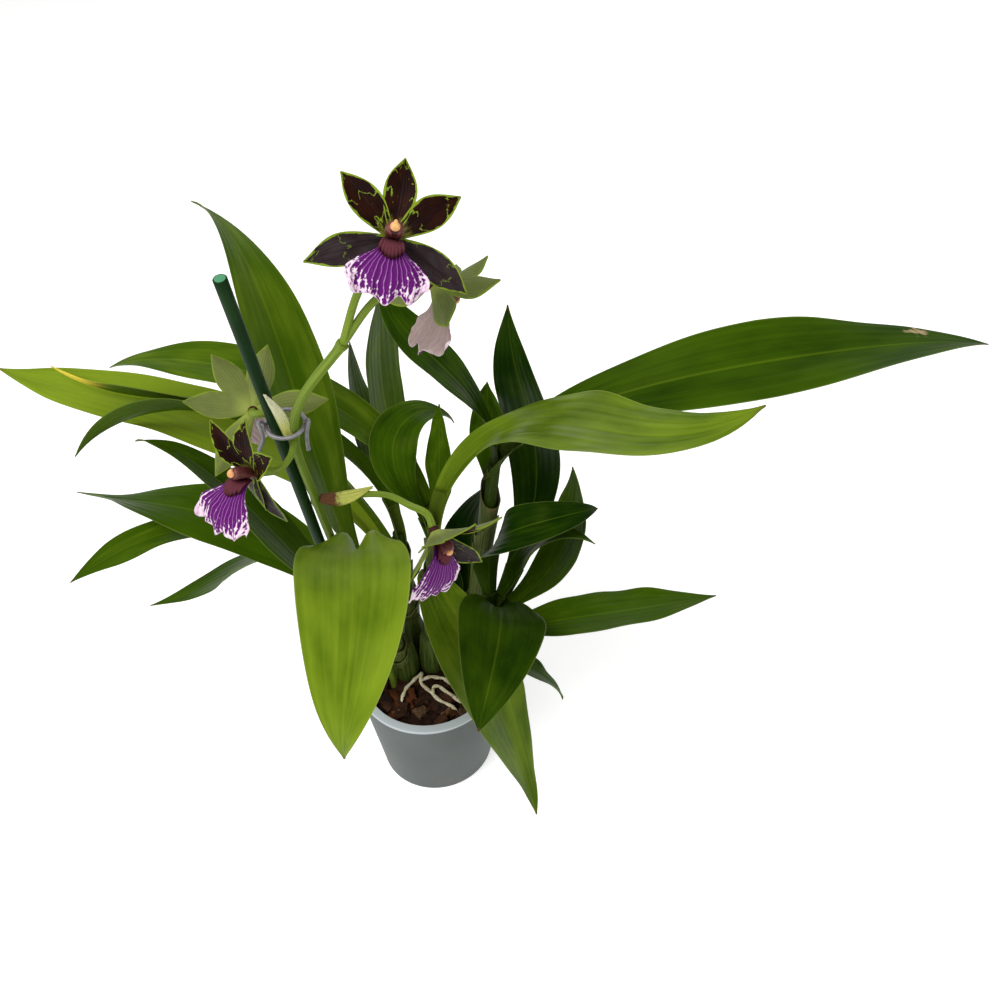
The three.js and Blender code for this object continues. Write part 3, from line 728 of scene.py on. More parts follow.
def folded(points, across, out, half, fold, u, lift=0.0):
    """Grid of a blade folded along its midrib, with lift added out of its face."""
    corner = (np.sqrt(u**2 + 0.006) - 0.0775) / 0.9255
    wide = np.outer(half * np.cos(fold), u)
    high = np.outer(half * np.sin(fold), corner) + lift
    return points[:, None] + across[:, None] * wide[..., None] + out[:, None] * high[..., None]


def leaf_sheet(shape, name, first, last, rows, outward=0.0, thickness=0.8, tint=None):
    """Adds one leaf between two shares of its length."""
    blade = LEAVES[name]
    phase = (sum(ord(letter) for letter in name) % 63) / 10
    s = first + (last - first) * np.linspace(0, 1, rows) ** 0.96
    points, across, out = blade_frames(
        leaf_foot(blade), blade["length"], blade["bearing"], blade["pitch"], blade["roll"], s
    )
    half = blade["width"] / 2 * leaf_outline(s, EARLY_WIDEST.get(name, WIDEST))
    fold = np.radians(BLADE_FOLD + (BASE_FOLD - BLADE_FOLD) * np.maximum(1 - s / 0.45, 0) ** 2)
    u = np.sin(np.linspace(-math.pi / 2, math.pi / 2, BLADE_COLUMNS))
    open_share = np.clip((s - 0.15) / 0.3, 0, 1) * np.clip((1 - s) / 0.12, 0, 1)
    pleat = PLEAT_DEPTH * np.outer(open_share, np.cos(7.5 * math.pi * u) * (1 - u**4))
    slow = np.sin(2 * math.pi * 2.3 * s + phase)[:, None]
    quick = np.sin(2 * math.pi * 5.1 * s - phase)[:, None]
    sway = slow + 0.3 * quick
    wave = blade["wave"] * open_share[:, None] * sway * np.abs(u) ** 3 * np.where(u > 0, 1, -0.7)
    arch = blade["crest"] * np.exp(-(((s - CREST["place"]) / CREST["spread"]) ** 2))
    shoulders = np.outer(arch, np.sin(math.pi * np.abs(u) ** 0.8))
    middle = folded(points, across, out, half, fold, u, pleat + wave + shoulders)
    thin = thickness * (1 - 0.6 * np.abs(u) ** 6) * np.ones((rows, 1))
    own = (blade["tone"], blade["yellow"], blade["brown"])
    shape.sheet(middle, thin, u, s, half, tint or own, outward)


def leaf_material(settings):
    look = Look("leaf_green")
    u, s, half = look.field("place")
    tone, yellow, brown = look.field("tint")
    side = look.number("side")
    seed = tone * 31
    streak = look.noise(look.vector(u * 11, s * 2.2, seed), 1.0, 2.0)
    cloud = look.noise(look.vector(u * 1.6, s * 7, seed), 1.0, 3.0)
    main_veins = (u * 23.6).sine()
    # tone lifts or darkens the whole leaf: its own green together with painted shade.
    level = tone + (streak - 0.5) * 0.2 + (cloud - 0.5) * 0.55 + main_veins * 0.012
    green = look.mix(level.fade(0.0, 0.55), tuple(settings.leaf_dark), tuple(settings.leaf_middle))
    green = look.mix(level.fade(0.5, 1.05), green, tuple(settings.leaf_light))
    # Painted highlight: a lighter line along the midrib.
    midrib = u.size().fade(0.045, 0.01)
    green = look.mix(midrib * 0.2, green, tuple(settings.leaf_light))
    # Painted highlight: a pale rim along the margins, for the light the thin edges catch.
    edge = u.size().fade(0.965, 1.0)
    green = look.mix(edge * 0.25, green, (0.36, 0.42, 0.12))
    worn = s.fade(0.975, 1.0) * look.noise(look.vector(u * 3, s * 30, seed), 1.0).fade(0.4, 0.55)
    green = look.mix(worn * 0.8, green, (0.16, 0.09, 0.03))
    spot = look.noise(look.vector(u * 2.2, s * 34, seed), 1.0).fade(0.5, 0.62)
    scar = s.fade(0.81, 0.83) * s.fade(0.875, 0.855) * u.fade(0.3, 0.6) * brown * spot
    green = look.mix(scar, green, (0.42, 0.31, 0.17))
    below = look.mix(0.3, green, tuple(settings.leaf_under))
    colour = look.mix(side, below, green)
    tip = (s + (cloud - 0.5) * 0.1).fade(0.80, 0.93) * yellow
    colour = look.mix(tip * 0.9, colour, (0.75, 0.58, 0.06))
    fine = look.noise(look.vector(u * half * 1.2, s * 160, seed), 1.0, 2.0)
    height = main_veins * 0.3 + streak * 1.5 + fine * 0.2
    return look.finish(
        base_color=colour,
        roughness=0.28 + cloud * 0.16 + (1 - side) * 0.14,
        normal=look.bump(height, 0.3, 0.7),
        specular_ior_level=0.08,
        specular_tint=(0.55, 0.62, 0.1, 1.0),
    )


def growth_material(settings):
    look = Look("growth_skin")
    u, s = look.field("place")[:2]
    tone, papery, dry = look.field("tint")
    streak = look.noise(look.vector(u * 22, s * 2.4, tone * 17), 1.0, 3.0)
    ribs = (u * 94).sine()
    green = look.mix(tone + (streak - 0.5) * 0.7, tuple(settings.leaf_dark), tuple(settings.leaf_light))
    pale = look.mix(streak.fade(0.3, 0.7), (0.36, 0.40, 0.12), (0.52, 0.52, 0.24))
    colour = look.mix(papery, green, pale)
    ends = s.fade(0.72, 1.0) * look.noise(look.vector(u * 5, s * 3, 4.0), 1.0).fade(0.35, 0.6) * dry
    colour = look.mix(ends * 0.9, colour, (0.20, 0.11, 0.04))
    flecks = look.noise(look.position(), 420.0, 2.0).fade(0.62, 0.72)
    colour = look.mix(flecks * 0.4, colour, (0.10, 0.07, 0.02))
    height = ribs * 0.3 + streak
    return look.finish(
        base_color=colour,
        roughness=0.5 + papery * 0.15,
        normal=look.bump(height, 0.3, 0.8),
        specular_ior_level=0.15,
    )


def sheath(shape, foot, top, radius, spread, turn, tone, dry):
    """Adds a thin pointed sheath wrapped round a neck."""
    along = unit(top - foot)
    across = unit(np.cross(along, vec((0.3, 1, 0.1))))
    other = np.cross(along, across)
    sides = 40
    angle = np.linspace(0, 2 * math.pi, sides, endpoint=False)
    reach = 0.62 + 0.38 * (0.5 + 0.5 * np.cos(angle - turn)) ** 1.6
    share = np.linspace(0, 1, 12)
    length = np.linalg.norm(top - foot)
    outside = []
    for t in share:
        r = radius + spread * t**2 + 0.15 * np.cos(9 * angle)
        rise = length * t * reach
        wrap = np.outer(r * np.cos(angle), across) + np.outer(r * np.sin(angle), other)
        outside.append(foot + np.outer(rise, along) + wrap)
    outside = np.array(outside)
    centre = foot + along * (outside - foot).dot(along)[..., None]
    inside = outside + (centre - outside) * 0.09
    rows = np.concatenate([outside, inside[::-1]])
    shares = np.concatenate([share, share[::-1]])[:, None]
    place = np.stack(np.broadcast_arrays(angle[None] / math.pi - 1, shares, radius), -1)
    shape.grid(rows, place, (tone, 0.12, dry), caps=(False, False))


def growth_shape(name):
    """Pseudobulb, neck, sheaths and leaf bases of one growth."""
    foot, top = (vec(end) for end in GROWTHS[name])
    shape = Shape()
    rows = 16
    lift = np.linspace(0, 1, rows)
    swollen = np.sin(math.pi * np.minimum(lift * 0.62 + 0.22, 1)) ** 1.5
    radii = BULB["neck"] + (BULB["radius"] - BULB["neck"]) * swollen
    bulb = foot + np.outer(-BULB["sunk"] + (BULB["height"] + BULB["sunk"]) * lift, (0, 0, 1))
    shape.sweep(bulb, radii, 40, 9, 0.035, tint=(0.16, 0.05, 0))
    share = np.linspace(BULB["neck_from"], 1, 18)
    neck = foot + np.outer(share, top - foot)
    taper = BULB["neck"] + 1 + (BULB["tip"] - BULB["neck"] - 1) * share
    shape.sweep(neck, taper, 28, 7, 0.03, tint=(0.12, 0.0, 0))
    for k, low in enumerate(SHEATH_PLACES):
        radius = BULB["neck"] + 1.9 + (BULB["tip"] - BULB["neck"] - 1) * low
        ends = (growth_point(name, low), growth_point(name, min(low + 0.3, 1)))
        sheath(shape, *ends, radius, 1.8, k * 2.6 + len(name), 0.2 - 0.04 * k, 0.5 if k % 2 else 0.2)
    if name == "left":
        below = top + (foot - top) * 0.2
        stalk = smooth_path([below, top + (vec(FRONT_STALK) - top) * 0.35, FRONT_STALK])
        shape.sweep(stalk, np.linspace(4.6, 4.0, len(stalk)), 24, 5, 0.05, tint=(0.5, 0.1, 0))
    for key, blade in LEAVES.items():
        if blade["growth"] == name or (name == "left" and key == "front_broad"):
            tint = (0.7 * blade["tone"], 0, 0)
            leaf_sheet(shape, key, 0.0, JOINT_SHARE + OVERLAP, 12, 0.85, 1.1, tint)
    return shape


class ORCHID_OT_leaves(bpy.types.Operator):
    """Makes the pleated leaf blades, one object each"""

    bl_idname = "orchid.leaves"
    bl_label = "Leaves"

    def execute(self, context):
        material = leaf_material(context.scene.orchid_foliage)
        rows = context.scene.orchid_foliage.rows
        for name in LEAVES:
            shape = Shape()
            leaf_sheet(shape, name, JOINT_SHARE - OVERLAP, 1.0, rows)
            add_piece(f"{name}_blade", shape, material, [f"leaf_{name}"])
        return {"FINISHED"}


class ORCHID_OT_growths(bpy.types.Operator):
    """Makes the pseudobulbs with their necks, papery sheaths and leaf bases"""

    bl_idname = "orchid.growths"
    bl_label = "Growths"

    def execute(self, context):
        material = growth_material(context.scene.orchid_foliage)
        for name in GROWTHS:
            add_piece(f"{name}_growth", growth_shape(name), material, [f"growth_{name}"])
        return {"FINISHED"}


# ---- pot, bark and roots ----


def pot_material(settings):
    look = Look("pot_plastic")
    place = look.position()
    height = look.node("ShaderNodeSeparateXYZ", {}, {0: place}, output=2)
    rim = height.fade(settings.height - 0.0035, settings.height - 0.0015)
    cloud = look.noise(place, 22.0, 4.0)
    grain = look.noise(place, 900.0, 2.0)
    body = look.mix(cloud.fade(0.3, 0.75), tuple(settings.body_colour), (0.102, 0.115, 0.111))
    # Painted highlight: the flat top of the rim is painted far paler than the wall, for the light it
    # catches from above.
    colour = look.mix(rim, body, tuple(settings.rim_top_highlight))
    dust = look.noise(place, 60.0, 6.0).fade(0.55, 0.75) * height.fade(0.03, 0.0)
    colour = look.mix(dust * 0.35, colour, (0.16, 0.13, 0.10))
    return look.finish(
        base_color=colour,
        roughness=0.42 + cloud * 0.12,
        normal=look.bump(grain, 0.05, 0.5),
        specular_ior_level=0.15,
    )


class ORCHID_OT_pot(bpy.types.Operator):
    """Makes the thin plastic pot with its flat rim and drain holes"""

    bl_idname = "orchid.pot"
    bl_label = "Pot"

    def execute(self, context):
        settings = context.scene.orchid_pot
        top = settings.height / MM
        rim = settings.rim_radius / MM
        base = rim - 11
        wall = 2.5
        five = np.linspace(0, 1.57, 5)
        four = np.linspace(0, 1.57, 4)
        corner = [(rim - 0.9 + 0.8 * math.sin(a), top - 0.9 + 0.9 * math.cos(a)) for a in five[::-1]]
        lip = [(rim - 6.6 - 0.4 * math.sin(a), top - 0.4 + 0.4 * math.cos(a)) for a in four]
        foot = [(base - 1.2 + 1.2 * math.sin(a), 1.2 - 1.2 * math.cos(a)) for a in five]
        outside = [(0.2, 1.2), (base - 9, 1.2), (base - 7, 0), *foot, (base + 0.3, 5), *corner]
        ledge = [(rim - 7, top - 5), (rim - wall - 1.4, top - 9)]
        inside = [*ledge, (base - wall, 6), (base - wall - 2, 3), (0.2, 3)]
        shape = Shape()
        shape.turned([*outside, *lip, *inside], 144)
        piece = add_piece("pot_shell", shape, pot_material(settings), ["pot"])
        sharpen(piece, 38)
        self.drain(piece)
        return {"FINISHED"}

    def drain(self, piece):
        """Cuts the drain holes through the floor."""
        holes = Shape()
        for i in range(DRAIN["holes"]):
            turn = 2 * math.pi * (i + 0.5) / DRAIN["holes"]
            middle = DRAIN["circle"] * vec((math.cos(turn), math.sin(turn), 0))
            holes.sweep(middle + np.outer((-2, 5), (0, 0, 1)), DRAIN["radius"], 24)
        mesh = bpy.data.meshes.new("drain_holes")
        mesh.from_pydata((np.concatenate(holes.corners) * MM).tolist(), [], holes.faces)
        cutter = bpy.data.objects.new("drain_holes", mesh)
        bpy.context.scene.collection.objects.link(cutter)
        cut = piece.modifiers.new("drain", "BOOLEAN")
        cut.object = cutter
        cut.operation = "DIFFERENCE"
        cut.solver = "EXACT"
        depsgraph = bpy.context.evaluated_depsgraph_get()
        drained = bpy.data.meshes.new_from_object(piece.evaluated_get(depsgraph))
        piece.modifiers.clear()
        piece.data = drained
        bpy.data.objects.remove(cutter)


def bark_material(settings):
    look = Look("bark_chips")
    place = look.position()
    shade, red, pale = look.field("tint")
    cloud = look.noise(place, 260.0, 5.0)
    grain = look.noise(place, 900.0, 4.0, 0.6)
    colour = look.mix(shade + (cloud - 0.5) * 1.2, tuple(settings.bark_dark), tuple(settings.bark_light))
    colour = look.mix(red * 0.7, colour, (0.110, 0.030, 0.008))
    colour = look.mix(pale * grain.fade(0.35, 0.7), colour, (0.19, 0.12, 0.06))
    return look.finish(
        base_color=colour,
        roughness=0.82 + grain * 0.12,
        normal=look.bump(grain + cloud, 0.8, 0.9),
        specular_ior_level=0.12,
    )


def chip_block():
    """Corners and faces of a small block whose sides are cut into 4 by 4."""
    shell = bmesh.new()
    bmesh.ops.create_cube(shell, size=1.0)
    bmesh.ops.subdivide_edges(shell, edges=shell.edges, cuts=3, use_grid_fill=True)
    corners = np.array([vertex.co[:] for vertex in shell.verts])
    faces = [[vertex.index for vertex in face.verts] for face in shell.faces]
    shell.free()
    return corners, faces


class ORCHID_OT_bark(bpy.types.Operator):
    """Fills the pot with bark and lays loose chips on top"""

    bl_idname = "orchid.bark"
    bl_label = "Bark"

    def execute(self, context):
        settings = context.scene.orchid_mix
        shape = Shape()
        profile = [(0.2, 50), (50, 50), (52, 88), (46, 90), (36, 89.5), (24, 91), (12, 90), (0.2, 91)]
        shape.turned(profile, 72, (0.1, 0, 0))
        draw = random.Random(settings.seed)
        # The noise takes its offsets from the clock where the seed is 0, so it gets one above.
        noise.seed_set(settings.seed + 1)
        block, faces = chip_block()
        rounded = block * (1 - 0.16 * np.linalg.norm(block, axis=1, keepdims=True) ** 2)
        for i in range(settings.chips):
            size = settings.chip_size / MM * draw.uniform(0.5, 1.25)
            lengths = vec((size, size * draw.uniform(0.45, 0.9), size * draw.uniform(0.3, 0.6)))
            away = (SOIL["reach"] - size * 0.45) * math.sqrt(draw.random())
            turn = draw.uniform(0, 2 * math.pi)
            height = SOIL["level"] + draw.uniform(-1.5, 3.0)
            spin = Matrix.Rotation(draw.uniform(0, math.pi), 3, "Z")
            spin = spin @ Matrix.Rotation(draw.uniform(-0.5, 0.5), 3, "X")
            spin = spin @ Matrix.Rotation(draw.uniform(-0.5, 0.5), 3, "Y")
            rough = [noise.noise_vector(Vector(corner * 1.7) + Vector((i * 3.1, 0, 0))) for corner in block]
            corners = (rounded + 0.22 * vec(rough)) * lengths
            rest = vec((away * math.cos(turn), away * math.sin(turn), height))
            corners = corners.dot(np.array(spin).T) + rest
            tint = (draw.uniform(0, 0.75), float(draw.random() < 0.12), 0.7 * (draw.random() < 0.1))
            start = shape.count
            shape.grid(corners[None], np.zeros(3), tint, caps=(False, False), around=False)
            shape.faces.extend([[start + index for index in face] for face in faces])
        piece = add_piece("bark_mix", shape, bark_material(settings), ["bark"])
        sharpen(piece, 50)
        return {"FINISHED"}


def root_material(settings):
    look = Look("root_skin")
    place = look.position()
    cloud = look.noise(place, 150.0, 4.0)
    grain = look.noise(place, 700.0, 3.0)
    colour = look.mix(cloud.fade(0.4, 0.7), tuple(settings.root_colour), (0.42, 0.36, 0.22))
    colour = look.mix(grain.fade(0.52, 0.68) * 0.7, colour, (0.16, 0.10, 0.05))
    return look.finish(
        base_color=colour,
        roughness=0.7,
        normal=look.bump(grain + cloud, 0.4, 0.7),
    )


class ORCHID_OT_roots(bpy.types.Operator):
    """Lays the pale roots on the bark"""

    bl_idname = "orchid.roots"
    bl_label = "Roots"

    def execute(self, context):
        settings = context.scene.orchid_mix
        shape = Shape()
        for k, knots in enumerate(ROOTS):
            path = smooth_path(knots)
            s = np.linspace(0, 1, len(path))
            path = path + 0.35 * np.stack([np.sin(17 * s + k), np.cos(13 * s + k), 0 * s], -1)
            radii = ROOT_RADIUS * (1 + 0.16 * np.sin(23 * s + k)) * np.clip((1.02 - s) / 0.08, 0.3, 1)
            shape.sweep(path, radii, 16)
        add_piece("root_tangle", shape, root_material(settings), ["roots"])
        return {"FINISHED"}


# ---- stake and clip ----


def stake_axis():
    """Foot, top and direction of the stake."""
    along = unit(vec(STAKE_TOP) - vec(STAKE_SOIL))
    foot = vec(STAKE_SOIL) - along * (STAKE_SOIL[2] - STAKE_FOOT_HEIGHT) / along[2]
    return foot, vec(STAKE_TOP), along


def stake_material(settings):
    look = Look("stake_coat")
    end = look.field("tint")[0]
    place = look.position()
    cloud = look.noise(place, 55.0, 4.0)
    grain = look.noise(place, 500.0, 3.0)
    coat = look.mix(cloud.fade(0.35, 0.7), tuple(settings.stake_colour), (0.009, 0.032, 0.006))
    colour = look.mix(end, coat, tuple(settings.stake_end))
    return look.finish(
        base_color=colour,
        roughness=0.38 + cloud * 0.2,
        normal=look.bump(grain, 0.1, 0.6),
        specular_ior_level=0.08,
    )


class ORCHID_OT_stake(bpy.types.Operator):
    """Makes the coated stake"""

    bl_idname = "orchid.stake"
    bl_label = "Stake"

    def execute(self, context):
        settings = context.scene.orchid_support
        radius = settings.stake_radius / MM
        foot, top, along = stake_axis()
        length = np.linalg.norm(top - foot) + STAKE_PAST_TOP
        steps = [*np.linspace(0, length - 0.5, 40), *(length + vec((-0.12, 0, 0.02, 0.04)))]
        radii = [radius] * 40 + [radius - 0.3, radius - 0.75, radius - 0.8, 0.3]
        tint = np.zeros((len(steps), 1, 3))
        tint[-2:, :, 0] = 1
        shape = Shape()
        shape.sweep(foot + np.outer(steps, along), radii, 40, 8, 0.012, tint=tint)
        add_piece("stake_rod", shape, stake_material(settings), ["stake"])
        return {"FINISHED"}


def clip_material(settings):
    look = Look("clip_plastic")
    cloud = look.noise(look.position(), 240.0, 3.0)
    colour = look.mix(cloud.fade(0.3, 0.7), tuple(settings.clip_colour), (0.20, 0.19, 0.205))
    return look.finish(
        base_color=colour,
        roughness=0.28 + cloud * 0.1,
        coat_weight=0.3,
        coat_roughness=0.15,
    )


class ORCHID_OT_clip(bpy.types.Operator):
    """Makes the butterfly clip that holds the spike to the stake"""

    bl_idname = "orchid.clip"
    bl_label = "Clip"

    def execute(self, context):
        top, along = stake_axis()[1:]
        share = (CLIP["height"] - STAKE_SOIL[2]) / (STAKE_TOP[2] - STAKE_SOIL[2])
        middle = vec(STAKE_SOIL) + (top - vec(STAKE_SOIL)) * share + vec((CLIP["aside"], 0, 0))
        across = unit(vec((1, 0, 0)) - along * along[0])
        front = np.cross(across, along)
        axes = np.stack([across, front, along])
        reach = CLIP["half_width"]
        turn = np.linspace(0, 2 * math.pi, 37)
        ring = np.stack([reach * np.cos(turn), CLIP["half_depth"] * np.sin(turn), -2 * np.sin(turn)], -1)
        left = [(-reach, 0, 0), (-reach - 2, 3, 6), (-reach - 2, 5, -5), (-reach - 6, 6, -13)]
        right = [(reach, 0, 0), (reach + 3, 3, 5), (reach, 5, -6), (reach - 1, 6, -15)]
        shape = Shape()
        for path in (ring, smooth_path(left), smooth_path(right)):
            shape.sweep(middle + path.dot(axes), CLIP["wire"], 14, 2, 0.12)
        for handle in (left, right):
            shape.ball(middle + vec(handle[-1]).dot(axes), (1.4, 1.4, 1.4))
        add_piece("clip_wire", shape, clip_material(context.scene.orchid_support), ["clip"])
        return {"FINISHED"}


# ---- flower spike and bracts ----


def face_of(bloom):
    """Right, up and out of a bloom's face."""
    out = direction(bloom["bearing"], bloom["pitch"])
    right = direction(bloom["bearing"] + 90, 0)
    up = np.cross(out, right)
    roll = math.radians(bloom["roll"])
    return right * math.cos(roll) + up * math.sin(roll), up * math.cos(roll) - right * math.sin(roll), out


def stem_material(settings):
    look = Look("spike_skin")
    u, s = look.field("place")[:2]
    stalk = look.field("tint")[0]
    cloud = look.noise(look.position(), 70.0, 4.0)
    streak = look.noise(look.vector(u * 9, s * 5, stalk), 1.0, 2.0)
    colour = look.mix(streak.fade(0.35, 0.7), tuple(settings.stem_colour), tuple(settings.stem_light))
    colour = look.mix(stalk * 0.35, colour, tuple(settings.stem_light))
    flecks = look.noise(look.position(), 480.0, 2.0).fade(0.63, 0.72)
    colour = look.mix(flecks * 0.35, colour, (0.10, 0.05, 0.02))
    return look.finish(
        base_color=colour,
        roughness=0.42 + cloud * 0.15,
        normal=look.bump(streak, 0.2, 0.8),
        specular_ior_level=0.18,
    )


class ORCHID_OT_spike(bpy.types.Operator):
    """Makes the flower stem with its nodes and the ribbed flower stalks"""

    bl_idname = "orchid.spike"
    bl_label = "Spike"

    def execute(self, context):
        shape = Shape()
        stem = smooth_path(STEM, 16)
        s = np.linspace(0, 1, len(stem))
        swell = np.zeros(len(stem))
        for k in STEM_NODES:
            swell += np.exp(-((np.linalg.norm(stem - vec(STEM[k]), axis=1) / 3.2) ** 2))
        shape.sweep(stem, STEM_RADIUS * (1.04 - 0.1 * s) + 0.75 * swell, 28, 6, 0.03)
        for bloom in BLOOMS.values():
            out = face_of(bloom)[2]
            hub = vec(bloom["hub"])
            knots = [*bloom["stalk"], hub - out * (HUB_RADIUS + 7), hub - out * (HUB_RADIUS - 1)]
            path = smooth_path(knots, 12)
            share = np.linspace(0, 1, len(path))
            swollen = np.clip((share - 0.35) / 0.4, 0, 1)
            radii = STALK_RADIUS + (OVARY_RADIUS - STALK_RADIUS) * swollen
            shape.sweep(path, radii, 30, 6, 0.09, tint=(1, 0, 0))
        add_piece("spike_stem", shape, stem_material(context.scene.orchid_spike), ["spike"])
        return {"FINISHED"}


def bract_material(settings):
    look = Look("bract_paper")
    u, s = look.field("place")[:2]
    brown, cream, seed = look.field("tint")
    streak = look.noise(look.vector(u * 7, s * 2, seed * 7), 1.0, 3.0)
    colour = look.mix(streak.fade(0.3, 0.7), tuple(settings.bract_colour), (0.36, 0.40, 0.09))
    colour = look.mix(cream * s.fade(0.1, 0.7), colour, (0.72, 0.70, 0.46))
    ragged = look.noise(look.vector(u * 3, s * 14, seed * 3), 1.0, 3.0)
    dry = (s + (ragged - 0.5) * 0.35).fade(0.42, 0.26) * brown
    colour = look.mix(dry, colour, tuple(settings.bract_dry))
    veins = (u * 30).sine()
    return look.finish(
        base_color=colour,
        roughness=0.5 + dry * 0.3,
        normal=look.bump(veins + streak, 0.2, 0.7),
        specular_ior_level=0.15,
    )


class ORCHID_OT_bracts(bpy.types.Operator):
    """Makes the boat-shaped bracts at the nodes of the spike"""

    bl_idname = "orchid.bracts"
    bl_label = "Bracts"

    def execute(self, context):
        material = bract_material(context.scene.orchid_spike)
        for name, bract in BRACTS.items():
            shape = Shape()
            s = np.linspace(0, 1, BRACT_GRID["rows"])
            constant = [[bract[key]] * 4 for key in ("bearing", "pitch", "roll")]
            points, across, out = blade_frames(bract["foot"], bract["length"], *constant, s)
            half = bract["width"] / 2 * np.maximum(np.sin(math.pi * (0.2 + 0.78 * s)), 0.15)
            u = np.linspace(-1, 1, BRACT_GRID["columns"])
            bend = 0.8 * np.outer(np.sin(math.pi * s), np.ones(len(u)))
            fold = np.radians(np.full(len(s), BRACT_FOLD))
            middle = folded(points, across, out, half, fold, u, bend)
            thin = np.full(middle.shape[:2], 0.7)
            low = float(name == "low")
            shape.sheet(middle, thin, u, s, half, (low, 1 - low, low))
            add_piece(f"{name}_bract", shape, material, [f"bract_{name}"])
        return {"FINISHED"}


# ---- blooms ----


def petal_frames(bloom, turn, length, lean, tip_lean, start, rows):
    """Middle line of a petal that leaves the hub at an angle round the face."""
    right, up, out = face_of(bloom)
    angle = math.radians(turn)
    radial = up * math.cos(angle) - right * math.sin(angle)
    s = np.linspace(0, 1, rows)
    lift = np.radians(lean + (tip_lean - lean) * s)[:, None]
    along = radial * np.cos(lift) + out * np.sin(lift)
    facing = out * np.cos(lift) - radial * np.sin(lift)
    middle = (along[1:] + along[:-1]) / 2 * (length - start) / (rows - 1)
    points = vec(bloom["hub"]) + along[0] * start + np.vstack([np.zeros(3), np.cumsum(middle, axis=0)])
    return s, points, np.broadcast_to(np.cross(out, radial), points.shape), facing, along


def tepal_material(settings):
    look = Look("tepal_skin")
    u, s, half = look.field("place")
    lower, hub, seed = look.field("tint")
    side = look.number("side")
    shift = seed * 9.0
    ragged = look.noise(look.vector(u * 2.6, s * 7, shift), 1.0, 3.0)
    edge = ((1 - u.size()) * half).lowest((1 - s) * 22)
    margin = (edge + (ragged - 0.5) * 3.2).fade(0.95, 0.5)
    wander = look.noise(look.vector(u * 1.5, s * 3, shift + 3), 1.0, 4.0)
    bars = ((s * 2.6 + wander * 1.6 + seed) * math.pi).sine().size().fade(0.11, 0.05)
    broken = look.noise(look.vector(u * 1.6, s * 4, shift + 6), 1.0, 1.0).fade(0.50, 0.53)
    broken = broken.highest((edge + (ragged - 0.5) * 5).fade(3.2, 2.4)) * (1 - lower * 0.5)
    flecks = look.noise(look.vector(u * half * 0.5, s * 22, shift + 1), 1.0, 2.0).fade(0.72, 0.75)
    foot = (s + (ragged - 0.5) * 0.4).fade(0.22, 0.08) * (1 - lower)
    cloud = look.noise(look.vector(u * 1.5, s * 4, shift + 4), 1.0, 4.0)
    maroon = look.mix(cloud.fade(0.35, 0.75), tuple(settings.maroon), (0.024, 0.0055, 0.0025))
    # Painted reflection: the lower sepals are painted grey for the sky they reflect.
    painted_sky_sheen = look.mix(cloud.fade(0.2, 0.8), (0.015, 0.008, 0.009), (0.036, 0.026, 0.028))
    face = look.mix(lower, maroon, painted_sky_sheen)
    # Painted shade: a near-black line down the middle crease of each tepal.
    face = look.mix(u.size().fade(0.05, 0.01) * s.fade(0.95, 0.5) * 0.8, face, (0.010, 0.004, 0.005))
    marks = margin.highest(bars * broken * 0.9).highest(flecks * (1 - lower) * 0.7)
    face = look.mix(marks, face, tuple(settings.edge_green))
    face = look.mix(foot * 0.75, face, (0.16, 0.15, 0.025))
    veins = (u * 30).sine()
    back = look.mix((cloud - 0.3) * 0.9 + veins * 0.05, tuple(settings.back_green), (0.082, 0.096, 0.030))
    back = look.mix(s.fade(0.35, 0.0) * 0.6, back, (0.36, 0.42, 0.08))
    back = look.mix(margin * 0.7, back, tuple(settings.edge_green))
    colour = look.mix(side, back, face)
    colour = look.mix(hub, colour, (0.050, 0.012, 0.014))
    height = veins * 0.35 + cloud
    return look.finish(
        base_color=colour,
        roughness=0.34 + cloud * 0.15,
        normal=look.bump(height, 0.25, 0.7),
        specular_ior_level=0.04,
    )


class ORCHID_OT_petals(bpy.types.Operator):
    """Makes the three sepals and two petals of each bloom"""

    bl_idname = "orchid.petals"
    bl_label = "Sepals and petals"

    def execute(self, context):
        material = tepal_material(context.scene.orchid_blooms)
        for k, (name, bloom) in enumerate(BLOOMS.items()):
            shape = Shape()
            shape.ball(bloom["hub"], (2.9, 2.9, 2.9), tint=(0, 1, 0))
            turns = [(turn, UPPER_TEPALS) for turn in UPPER_TEPALS["turns"]]
            turns += [(side * bloom["spread"], LOWER_TEPALS) for side in LOWER_TEPALS["sides"]]
            for i, (turn, kind) in enumerate(turns):
                low = kind is LOWER_TEPALS
                cup = bloom["cup"] + bloom["lower_cup"] * low
                size = kind["length"] * bloom["scale"]
                leans = (kind["lean"] + cup, kind["tip_lean"] + cup)
                rows = TEPAL_GRID["rows"]
                s, points, across, out = petal_frames(bloom, turn, size, *leans, 1.6, rows)[:4]
                swell = np.sin(math.pi * np.minimum(s / 1.16 + 0.01, 1)) ** 1.2
                half = TEPAL_WIDTH / 2 * bloom["scale"] * ((0.22 + 0.78 * swell) * (1 - s**5) + 0.04)
                u = np.sin(np.linspace(-math.pi / 2, math.pi / 2, TEPAL_GRID["columns"]))
                phase = 1.7 * i + k
                sway = 0.55 * np.outer(np.sin(math.pi * s) * np.sin(9 * s + phase), u**2 * np.sign(u))
                fold = np.radians(np.full(rows, TEPAL_FOLD))
                middle = folded(points, across, out, half, fold, u, sway)
                thin = 0.85 * (1 - 0.6 * u**6) * np.ones((rows, 1))
                shape.sheet(middle, thin, u, s, half, (float(low), 0, (phase * 0.37) % 1))
            add_piece(f"{name}_petals", shape, material, [f"bloom_{name}_tepals"])
        return {"FINISHED"}


